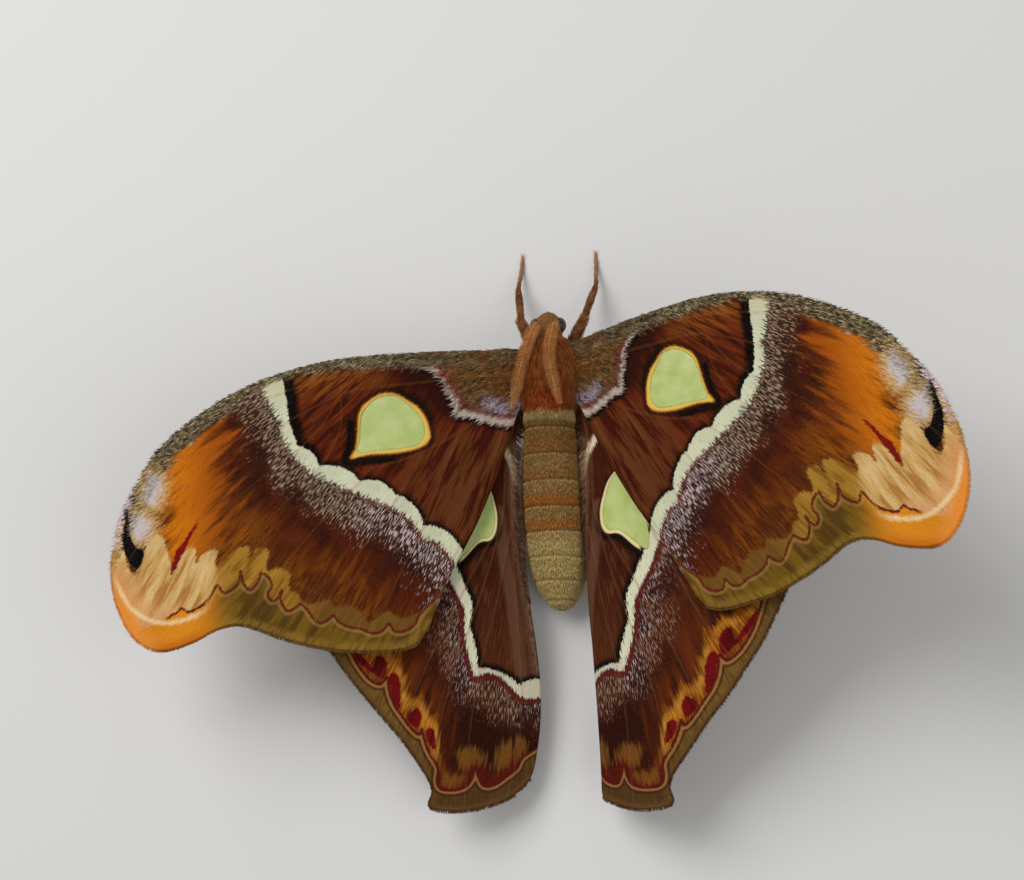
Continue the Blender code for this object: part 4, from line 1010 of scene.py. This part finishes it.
def body_pattern(tree):
    """The coat's colours, by place on the body."""
    place = node(tree, "ShaderNodeSeparateXYZ", {0: read(tree, "root", "Vector")})
    x, y, z = place.outputs["X"], place.outputs["Y"], place.outputs["Z"]
    clouds = node(tree, "ShaderNodeTexNoise",
                  {"Vector": read(tree, "root", "Vector"), "Scale": 0.5, "Detail": 3.0})
    cloud = ramp(tree, clouds.outputs["Fac"], 0.3, 0.7)
    wander = sums(tree, "MULTIPLY", sums(tree, "SUBTRACT", cloud, 0.5), 1.2)
    y = sums(tree, "ADD", y, wander)
    ring = sums(tree, "ADD", read(tree, "ring"), sums(tree, "MULTIPLY", wander, 0.05))
    side = sums(tree, "ABSOLUTE", x)
    # Abdomen: tan rings with orange brown bands in the middle ones, the last rings plain
    belly = layers(
        tree, (156, 120, 66), ((174, 138, 82), (cloud, 0.2, 0.8)), ((200, 174, 110), (y, -32, -40)),
        ((138, 96, 42), (y, -20, -6), 0.8),
        ((178, 104, 24), (ring, 0.42, 0.72), (y, -36, -33), (y, -19, -22), 0.78),
        ((160, 100, 36), (ring, 0.5, 0.74), (y, -22, -19), (y, -4, -9), 0.55),
        ((206, 178, 142), (ring, 0.1, 0.0), 0.4), ((104, 66, 36), (ring, 0.92, 1.0), 0.45),
        # Painted shade: the abdomen is darker brown at its outer sides. The paler belly below is its own
        # colour.
        ((118, 76, 44), (side, 7.0, 9.4), 0.7), ((206, 186, 156), (z, 7, 2), 0.8))
    # Thorax: orange rust, redder behind; a pale collar closes it
    chest = layers(
        tree, (178, 96, 38), ((140, 66, 26), (cloud, 0.2, 0.8)),
        ((172, 64, 14), (y, 10, 2), (side, 7, 3), 0.85), ((158, 108, 52), (side, 5, 8.5), 0.7),
        # Painted shade: the thorax darkens towards its lower half, under the wing roots. The paler front by
        # the head is its own colour.
        ((150, 112, 62), (y, 17, 22), 0.7), ((96, 56, 32), (z, 16, 9), 0.7))
    return layers(tree, belly, ((190, 160, 104), (y, -4.2, -3.2)), (chest, (y, -0.6, 0.4)))


def hairy_material(name, pattern, depth=0.4, unlike=1.0):
    """Dull hair with painted shade at its root, darker there by one share, and each hair unlike the next by
    another.
    """
    finish, tree, shader = new_finish(name)
    shade = read(tree, "shade")
    # Painted shade: each hair darkens towards its root, where the hair over it shades it. Pieces that carry
    # no tip value, such as the skin under the coat, take this painted shade in full.
    shown = layers(
        tree, pattern(tree), ((40, 20, 12), (read(tree, "tip"), 0.5, 0.0), depth),
        ((226, 192, 142), (shade, 0.72, 1.0), 0.22 * unlike),
        ((50, 26, 14), (shade, 0.26, 0.0), 0.32 * unlike))
    tree.links.new(shown, shader.inputs["Base Color"])
    tree.links.new(graded(tree, shade, 0.62, 0.85), shader.inputs["Roughness"])
    shader.inputs["Specular IOR Level"].default_value = 0.12
    return finish


body_coat = hairy_material("body_coat", body_pattern)
belly_coat = hairy_material("belly_coat", body_pattern, 0.22, 0.6)
skin.data.materials.append(body_coat)
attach(skin, "root")
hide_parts("head", "thorax", "abdomen")

# name, tufts, y range, length, width, steepness in degrees
COATS = [("coat_abdomen_short", 32000, (-57.0, -3.0), (1.3, 2.1), (0.14, 0.25), (7, 15)),
         ("coat_abdomen_fringe", 9000, (-57.0, -3.0), (1.6, 2.6), (0.12, 0.22), (8, 17)),
         ("coat_thorax_under", 20000, (-3.5, 21.0), (1.5, 2.4), (0.16, 0.3), (14, 32)),
         ("coat_thorax_long", 15000, (0.6, 20.0), (2.8, 4.4), (0.12, 0.22), (14, 27)),
         ("coat_collar", 5000, (-2.6, 0.8), (2.6, 3.8), (0.12, 0.22), (8, 20)),
         ("coat_head", 7000, (20.5, 27.0), (0.9, 1.7), (0.12, 0.2), (18, 42))]
draw = np.random.default_rng(7)

for word, count, (back, front), (short, long), (thin, thick), (low, high) in COATS:
    ys = draw.uniform(back, front, count * 3)
    wide = body_size(ys)[0]
    ys = ys[draw.uniform(0, 10, len(ys)) < wide][:count]
    if word == "coat_abdomen_fringe":
        edges = np.array(ABDOMEN_JOINTS)
        ys = draw.choice(edges, len(ys)) + draw.uniform(0.1, 1.3, len(ys))
    turns = draw.uniform(-math.pi, math.pi, len(ys))
    roots, normals = body_place(turns, ys), body_normal(turns, ys)
    lie = np.column_stack([np.sin(turns) * 0.18, np.full(len(ys), -1.0), -np.abs(np.sin(turns)) * 0.18])
    if word == "coat_head":
        lie = np.column_stack([np.sin(turns) * 0.5, np.full(len(ys), 0.6), np.cos(turns) * 0.1])
    lie = lie + draw.normal(0, 0.13, lie.shape)
    length = draw.uniform(short, long, len(ys)) * np.interp(ys, (-57, -52, 18, 21), (0.6, 1, 1, 0.6))
    coat, slot = (belly_coat, "abdomen_fur") if "abdomen" in word else (body_coat, "body_fur")
    tufts(word, roots, normals, lie, length, draw.uniform(thin, thick, len(ys)),
          np.radians(draw.uniform(low, high, len(ys))), body_unwrap(roots), draw.uniform(0, 1, len(ys)),
          coat, body_fields(roots))

# Wing hair: longer scales on the wings' roots and front edges, a fringe on the outer edges, and a mauve
# brush on the hindwings' inner edges that closes the space beside the abdomen. Coloured as the wing is.
# wing, zone, tufts on each side, length, width, steepness in degrees
WING_HAIR = [("forewing", "root", 4400, (1.5, 2.9), (0.12, 0.24), (9, 26)),
             ("forewing", "costa", 3600, (0.8, 1.5), (0.1, 0.2), (6, 20)),
             ("forewing", "fringe", 2600, (0.5, 0.85), (0.16, 0.28), (0, 4)),
             ("hindwing", "brush", 3400, (1.6, 3.2), (0.12, 0.24), (4, 20)),
             ("hindwing", "fringe", 2300, (0.5, 0.85), (0.16, 0.28), (0, 4))]
HAIR_FANS = {"root": (-60, 30), "costa": (-60, 30), "brush": (30, 20)}
wing_hair = {kind: hairy_material(kind + "_hair", KINDS[kind][4], 0.3) for kind in KINDS}

for kind, zone, count, (short, long), (thin, thick), (low, high) in WING_HAIR:
    flat, half, lift, fields = wing_stock[kind]
    (uv_low, uv_scale, _), poses = KINDS[kind][5:]
    centre = HAIR_FANS.get(zone, FORE_FLOW if kind == "forewing" else HIND_FLOW)
    zones = {"root": lambda: fields["base"] < 0,
             "costa": lambda: (fields["costa"] > 0) & (fields["base"] > 0),
             "fringe": lambda: fields["margin"] < 0.12,
             "brush": lambda: (fields["hem"] < 1.5) & (flat[:, 1] > -56)
             | (flat[:, 0] < 0.6) & (flat[:, 1] > -12)}
    chosen = np.flatnonzero(zones[zone]())
    for side, pose in zip(("left", "right"), poses):
        pick = draw.choice(chosen, count)
        spots = flat[pick] + draw.uniform(-0.2, 0.2, (count, 2))
        hand = draw.choice((1, 1, 1, -1), count)[:, None]
        normals = wing_normals(spots, pose)
        roots = wing_places(spots, pose) + normals * (lift[pick, None] + half[pick, None] * hand)
        way = unit(spots - centre) + draw.normal(0, 0.14, spots.shape)
        lie = wing_places(spots + way * 0.2, pose) - wing_places(spots - way * 0.2, pose)
        own = {word: values[pick] for word, values in fields.items()}
        taper = np.interp(spots[:, 1], (-56, -34), (0.3, 1)) if zone == "brush" else 1
        length = draw.uniform(short, long, count) * taper
        tufts("hair_" + kind + "_" + zone + "_" + side, roots, normals * hand, lie, length,
              draw.uniform(thin, thick, count), np.radians(draw.uniform(low, high, count)),
              (flat[pick] - uv_low) * uv_scale + 0.01, draw.uniform(0.1, 0.9, count), wing_hair[kind],
              own)


# Eyes: two dark compound eyes of glossy horn, set in the sides of the head. Each is a slightly
# long ball, covered by a close net of lenses.
EYE = (3.3, 23.3, 19.7)
EYE_RADIUS = 2.3
EYE_STRETCH = (0.86, 1.0, 1.08)
EYE_CUTS = 5

eye_lens, eye_tree, eye_shader = new_finish("eye_lens")
eye_where = node(eye_tree, "ShaderNodeTexCoord").outputs["Object"]
eye_cells = node(eye_tree, "ShaderNodeTexVoronoi",
                 {"Vector": eye_where, "Scale": 5200.0, "Randomness": 0.25})
eye_cloud = node(eye_tree, "ShaderNodeTexNoise", {"Vector": eye_where, "Scale": 900.0, "Detail": 2.0})
eye_shown = layers(eye_tree, (34, 18, 12), ((84, 48, 26), (eye_cloud.outputs["Fac"], 0.4, 0.66)),
                   ((8, 5, 4), (eye_cells.outputs["Distance"], 0.3, 0.6)))
eye_bump = node(eye_tree, "ShaderNodeBump",
                {"Height": sums(eye_tree, "MULTIPLY", eye_cells.outputs["Distance"], -1.0),
                 "Strength": 0.6, "Distance": 0.00006})
eye_tree.links.new(eye_shown, eye_shader.inputs["Base Color"])
eye_tree.links.new(eye_bump.outputs["Normal"], eye_shader.inputs["Normal"])
eye_shader.inputs["Roughness"].default_value = 0.18

for word, side in (("left", -1), ("right", 1)):
    bpy.ops.object.select_all(action="DESELECT")
    bpy.ops.mesh.primitive_ico_sphere_add(subdivisions=EYE_CUTS, radius=EYE_RADIUS * MM)
    ball = bpy.context.object
    ball.name = "eye_" + word + ".lens"
    bpy.ops.object.mode_set(mode="EDIT")
    bpy.ops.mesh.select_all(action="SELECT")
    bpy.ops.transform.resize(value=EYE_STRETCH)
    bpy.ops.object.mode_set(mode="OBJECT")
    for face in ball.data.polygons:
        face.use_smooth = True
    ball.data.transform(Matrix.Translation(placed((side * EYE[0], EYE[1], EYE[2]))))
    ball.data.materials.append(eye_lens)
    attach(ball, "root")
    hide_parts("eye_" + word)


# Feelers: feathered, folded back over the thorax. Each joint of the jointed shaft carries two pairs of
# curved barbs, and every barb has a fringe of fine sensing hairs.
FEELERS = {"left": [(1.9, 23.2, 22.2), (2.4, 22.6, 25.2), (3.4, 19.4, 28.0), (5.0, 13.8, 29.0),
                    (6.9, 7.4, 28.4), (8.4, 1.6, 27.0), (9.5, -2.2, 25.9)],
           "right": [(1.9, 23.2, 22.2), (2.7, 22.4, 25.4), (2.5, 18.8, 28.2), (1.9, 13.8, 29.0),
                     (2.4, 8.6, 29.1), (3.5, 3.6, 28.7), (4.9, -1.4, 27.6)]}
FEELER_JOINTS = 34
FEELER_RADIUS = (0.42, 0.16)
BARB_LENGTH = 1.75
BARB_RADIUS = 0.085
CILIA = 9
SHAFT_SIDES, BARB_SIDES = 10, 5


def tube_mesh(path, radii, sides):
    """Points and triangles of a closed round tube, with the frame of each of its rings."""
    ahead = unit(np.gradient(path, axis=0))
    across = np.cross(ahead[0], (0.03, 0.02, 1.0))
    rings, frames = [], []
    for here, heading, radius in zip(path, ahead, radii):
        across = across - heading * (across @ heading)
        across = across / np.linalg.norm(across)
        top = np.cross(across, heading)
        turn = 2 * math.pi * np.arange(sides)[:, None] / sides
        rings.append(here + radius * (np.cos(turn) * across + np.sin(turn) * top))
        frames.append((across, top, heading))
    points = np.vstack(rings + [path[:1] - ahead[:1] * radii[0] * 0.3,
                                path[-1:] + ahead[-1:] * radii[-1] * 0.6])
    faces = []
    for i in range(len(path) - 1):
        for j in range(sides):
            a, b = i * sides + j, i * sides + (j + 1) % sides
            faces += [(a, b, b + sides), (a, b + sides, a + sides)]
    first, last = len(points) - 2, len(points) - 1
    for j in range(sides):
        faces.append((first, (j + 1) % sides, j))
        faces.append((last, last - 1 - sides + j, last - 1 - sides + (j + 1) % sides))
    return points, np.array(faces)[:, ::-1], frames


def joined(shapes):
    """Several meshes of points and triangles as one."""
    points, faces, start = [], [], 0
    for own_points, own_faces in shapes:
        points.append(own_points)
        faces.append(own_faces + start)
        start += len(own_points)
    return np.vstack(points), np.vstack(faces)


def horn_pattern(tree):
    """Tan horn with a fine grain. The shaft's darker tone is painted shade and the barbs' lighter tone
    painted light, set by the shade value that each carries.
    """
    grain = node(tree, "ShaderNodeTexNoise", {"Vector": node(tree, "ShaderNodeTexCoord").outputs["Object"],
                                              "Scale": 700.0, "Detail": 3.0})
    return layers(tree, (160, 96, 40), ((188, 126, 62), (grain.outputs["Fac"], 0.35, 0.65)))


feeler_horn = hairy_material("feeler_horn", horn_pattern, 0.12)
for word, path in FEELERS.items():
    side = -1 if word == "left" else 1
    path = [(side * x, y, z) for x, y, z in path]
    shaft = curve_through(path, 0.22)
    share = np.linspace(0, 1, len(shaft))
    swell = 1 + 0.16 * np.cos(share * FEELER_JOINTS * 2 * math.pi)
    radii = (FEELER_RADIUS[0] + (FEELER_RADIUS[1] - FEELER_RADIUS[0]) * share) * swell
    points, faces, frames = tube_mesh(shaft, radii, SHAFT_SIDES)
    shapes = [(points, faces)]
    hair_roots, hair_ways = [], []
    for joint in range(2, FEELER_JOINTS):
        for level, offset, pitch in ((0, 0.25, 0.5), (1, 0.7, -0.15)):
            at = int((joint + offset) / FEELER_JOINTS * (len(shaft) - 1))
            heading = frames[at][2]
            done = at / len(shaft)
            long = BARB_LENGTH * min(1.0, 0.45 + done * 4, 0.3 + (1 - done) * 2.6) * (1 - 0.14 * level)
            flat_side = np.cross(heading, (0, 0, 1.0))
            flat_side /= np.linalg.norm(flat_side)
            rise = np.cross(flat_side, heading)
            for hand in (-1, 1):
                run = np.linspace(0, 1, 7)[:, None]
                way = flat_side * hand
                line = (shaft[at] + way * radii[at] * 0.5 + way * run * long
                        + heading * run ** 1.6 * long * 0.45
                        + rise * (run * pitch - run ** 2 * (pitch + 0.2)) * long * 0.7)
                shapes.append(tube_mesh(line, BARB_RADIUS * (1 - 0.6 * run[:, 0]), BARB_SIDES)[:2])
                for spot in np.linspace(0.2, 0.97, CILIA):
                    for turn in (-1, 1):
                        hair_roots.append(line[0] + (line[-1] - line[0]) * spot
                                          + rise * (spot * pitch - spot ** 2 * (pitch + 0.2) + 0.2 * spot)
                                          * long * 0.7)
                        hair_ways.append(heading * turn + way * 0.8)
    points, faces = joined(shapes)
    # Painted light and shade: the shaft, which lies on top and catches the light, is painted darker, and the
    # barbs, which shade one another, are painted lighter.
    shade = np.where(np.arange(len(points)) < len(shapes[0][0]), 0.06, 0.95)
    feeler = mesh_piece("antenna_" + word + ".feathered", points, faces,
                        body_unwrap(points)[faces], {"shade": shade, "tip": np.ones(len(points))})
    feeler.data.materials.append(feeler_horn)
    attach(feeler, "root")
    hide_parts("antenna_" + word)
    hair_roots, hair_ways = np.array(hair_roots), np.array(hair_ways)
    ups = np.tile((0.0, 0.0, 1.0), (len(hair_roots), 1)) + draw.normal(0, 0.2, hair_roots.shape)
    tufts("antenna_" + word + ".cilia", hair_roots, unit(ups), hair_ways, np.full(len(hair_roots), 0.42),
          np.full(len(hair_roots), 0.045), np.full(len(hair_roots), 0.2), body_unwrap(hair_roots),
          draw.uniform(0.5, 1.0, len(hair_roots)), feeler_horn, {})


# Legs: six furred legs with a bare jointed foot and two hooked claws each. Thigh, shin and foot are
# lengths of one tube; the hair lies down towards the foot.
LEGS = {"front": [(4.4, 16.2, 12.4), (9.2, 26.2, 12.6), (11.6, 38.4, 4.2), (11.2, 46.0, 0.5)],
        "middle": [(6.2, 9.5, 11.0), (17.0, 14.0, 13.0), (25.0, 12.6, 3.4), (31.0, 12.2, 0.5)],
        "hind": [(5.6, 3.4, 10.6), (15.4, -5.0, 12.0), (21.6, -14.0, 3.4), (25.4, -21.0, 0.5)]}
LEG_RADIUS = [1.65, 1.2, 0.75, 0.5]
TOE_LENGTH = 3.4
FOOT_JOINTS = 5
FOOT_FROM = 0.66                        # how far down the leg its beaded foot begins
LEG_SIDES, CLAW_SIDES = 14, 6
LEG_HAIR = [(0, 2.0), (0.3, 1.9), (0.62, 1.5), (0.72, 0.7), (1, 0.4)]   # length of the hair, from hip to toe
LEG_TUFTS = 2600


def leg_pattern(tree):
    """Brown hair, paler on the foot and round the joints."""
    grain = node(tree, "ShaderNodeTexNoise", {"Vector": node(tree, "ShaderNodeTexCoord").outputs["Object"],
                                              "Scale": 420.0, "Detail": 3.0})
    return layers(tree, (112, 62, 30), ((154, 98, 52), (grain.outputs["Fac"], 0.35, 0.65)),
                  ((176, 128, 84), (read(tree, "down"), 0.6, 0.9), 0.7))


leg_fur = hairy_material("leg_fur", leg_pattern)
for place, joints in LEGS.items():
    for word, side in (("left", -1), ("right", 1)):
        hip, knee, shin, toe = [np.array((side * x, y, z)) for x, y, z in joints]
        level = (toe - shin) * (1, 1, 0)
        tip = toe + level / np.linalg.norm(level) * TOE_LENGTH
        hip = hip + (hip - knee) * 0.1
        route = [hip, hip + (knee - hip) * 0.5, knee + (hip - knee) * 0.1, knee, knee + (shin - knee) * 0.1,
                 knee + (shin - knee) * 0.6, shin, shin + (toe - shin) * 0.5, toe, tip]
        big, thigh, calf, foot = LEG_RADIUS
        sizes = [big, big, thigh, thigh * 0.9, calf, calf * 1.15, foot * 1.1, foot, foot, foot * 0.7]
        line = curve_through([tuple(p) + (r,) for p, r in zip(route, sizes)], 0.3)
        down = np.linspace(0, 1, len(line))
        beads = np.cos((down - FOOT_FROM) / (1 - FOOT_FROM) * FOOT_JOINTS * 2 * math.pi) * (down > FOOT_FROM)
        radii = line[:, 3] * (1 + 0.16 * beads)
        middle = line[:, :3].copy()
        middle[:, 2] = np.maximum(middle[:, 2], radii + 0.06)
        points, faces, frames = tube_mesh(middle, radii, LEG_SIDES)
        shapes = [(points, faces)]
        heading = frames[-1][2]
        flat_side = np.cross(heading, (0, 0, 1.0))
        run = np.linspace(0, 1, 9)[:, None]
        for hand in (-1, 1):
            hook = (middle[-1] + heading * (0.1 + 1.05 * run) + flat_side * hand * (0.14 + 0.55 * run)
                    + np.array((0, 0, 1.0)) * (0.38 * np.sin(run * math.pi * 0.8) - 0.32 * run))
            hook[:, 2] = np.maximum(hook[:, 2], 0.1)
            shapes.append(tube_mesh(hook, 0.14 * (1 - 0.85 * run[:, 0]), CLAW_SIDES)[:2])
        all_points, all_faces = joined(shapes)
        drop = np.interp(np.arange(len(all_points)), (0, len(points)), (0, 1))
        own = {"down": np.minimum(drop, 1), "shade": np.full(len(all_points), 0.5),
               "tip": np.full(len(all_points), 0.4)}
        limb = mesh_piece("leg_" + place + "_" + word + ".furred", all_points, all_faces,
                          body_unwrap(all_points)[all_faces], own)
        limb.data.materials.append(leg_fur)
        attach(limb, "root")
        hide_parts("leg_" + place + "_" + word)
        at = draw.integers(4, int(len(middle) * 0.97), LEG_TUFTS)
        turn = draw.uniform(0, 2 * math.pi, LEG_TUFTS)[:, None]
        across, top, heading = [np.array([ways[k] for ways in frames])[at] for k in range(3)]
        normals = np.cos(turn) * across + np.sin(turn) * top
        shift = heading * draw.uniform(-0.15, 0.15, LEG_TUFTS)[:, None]
        roots = middle[at] + normals * radii[at, None] + shift
        length = np.interp(down[at], *zip(*LEG_HAIR)) * draw.uniform(0.7, 1.15, LEG_TUFTS)
        tufts("leg_" + place + "_" + word + ".hair", roots, normals,
              heading + draw.normal(0, 0.12, roots.shape), length,
              draw.uniform(0.1, 0.18, LEG_TUFTS), np.radians(draw.uniform(9, 24, LEG_TUFTS)),
              body_unwrap(roots), draw.uniform(0, 1, LEG_TUFTS), leg_fur, {"down": down[at]})
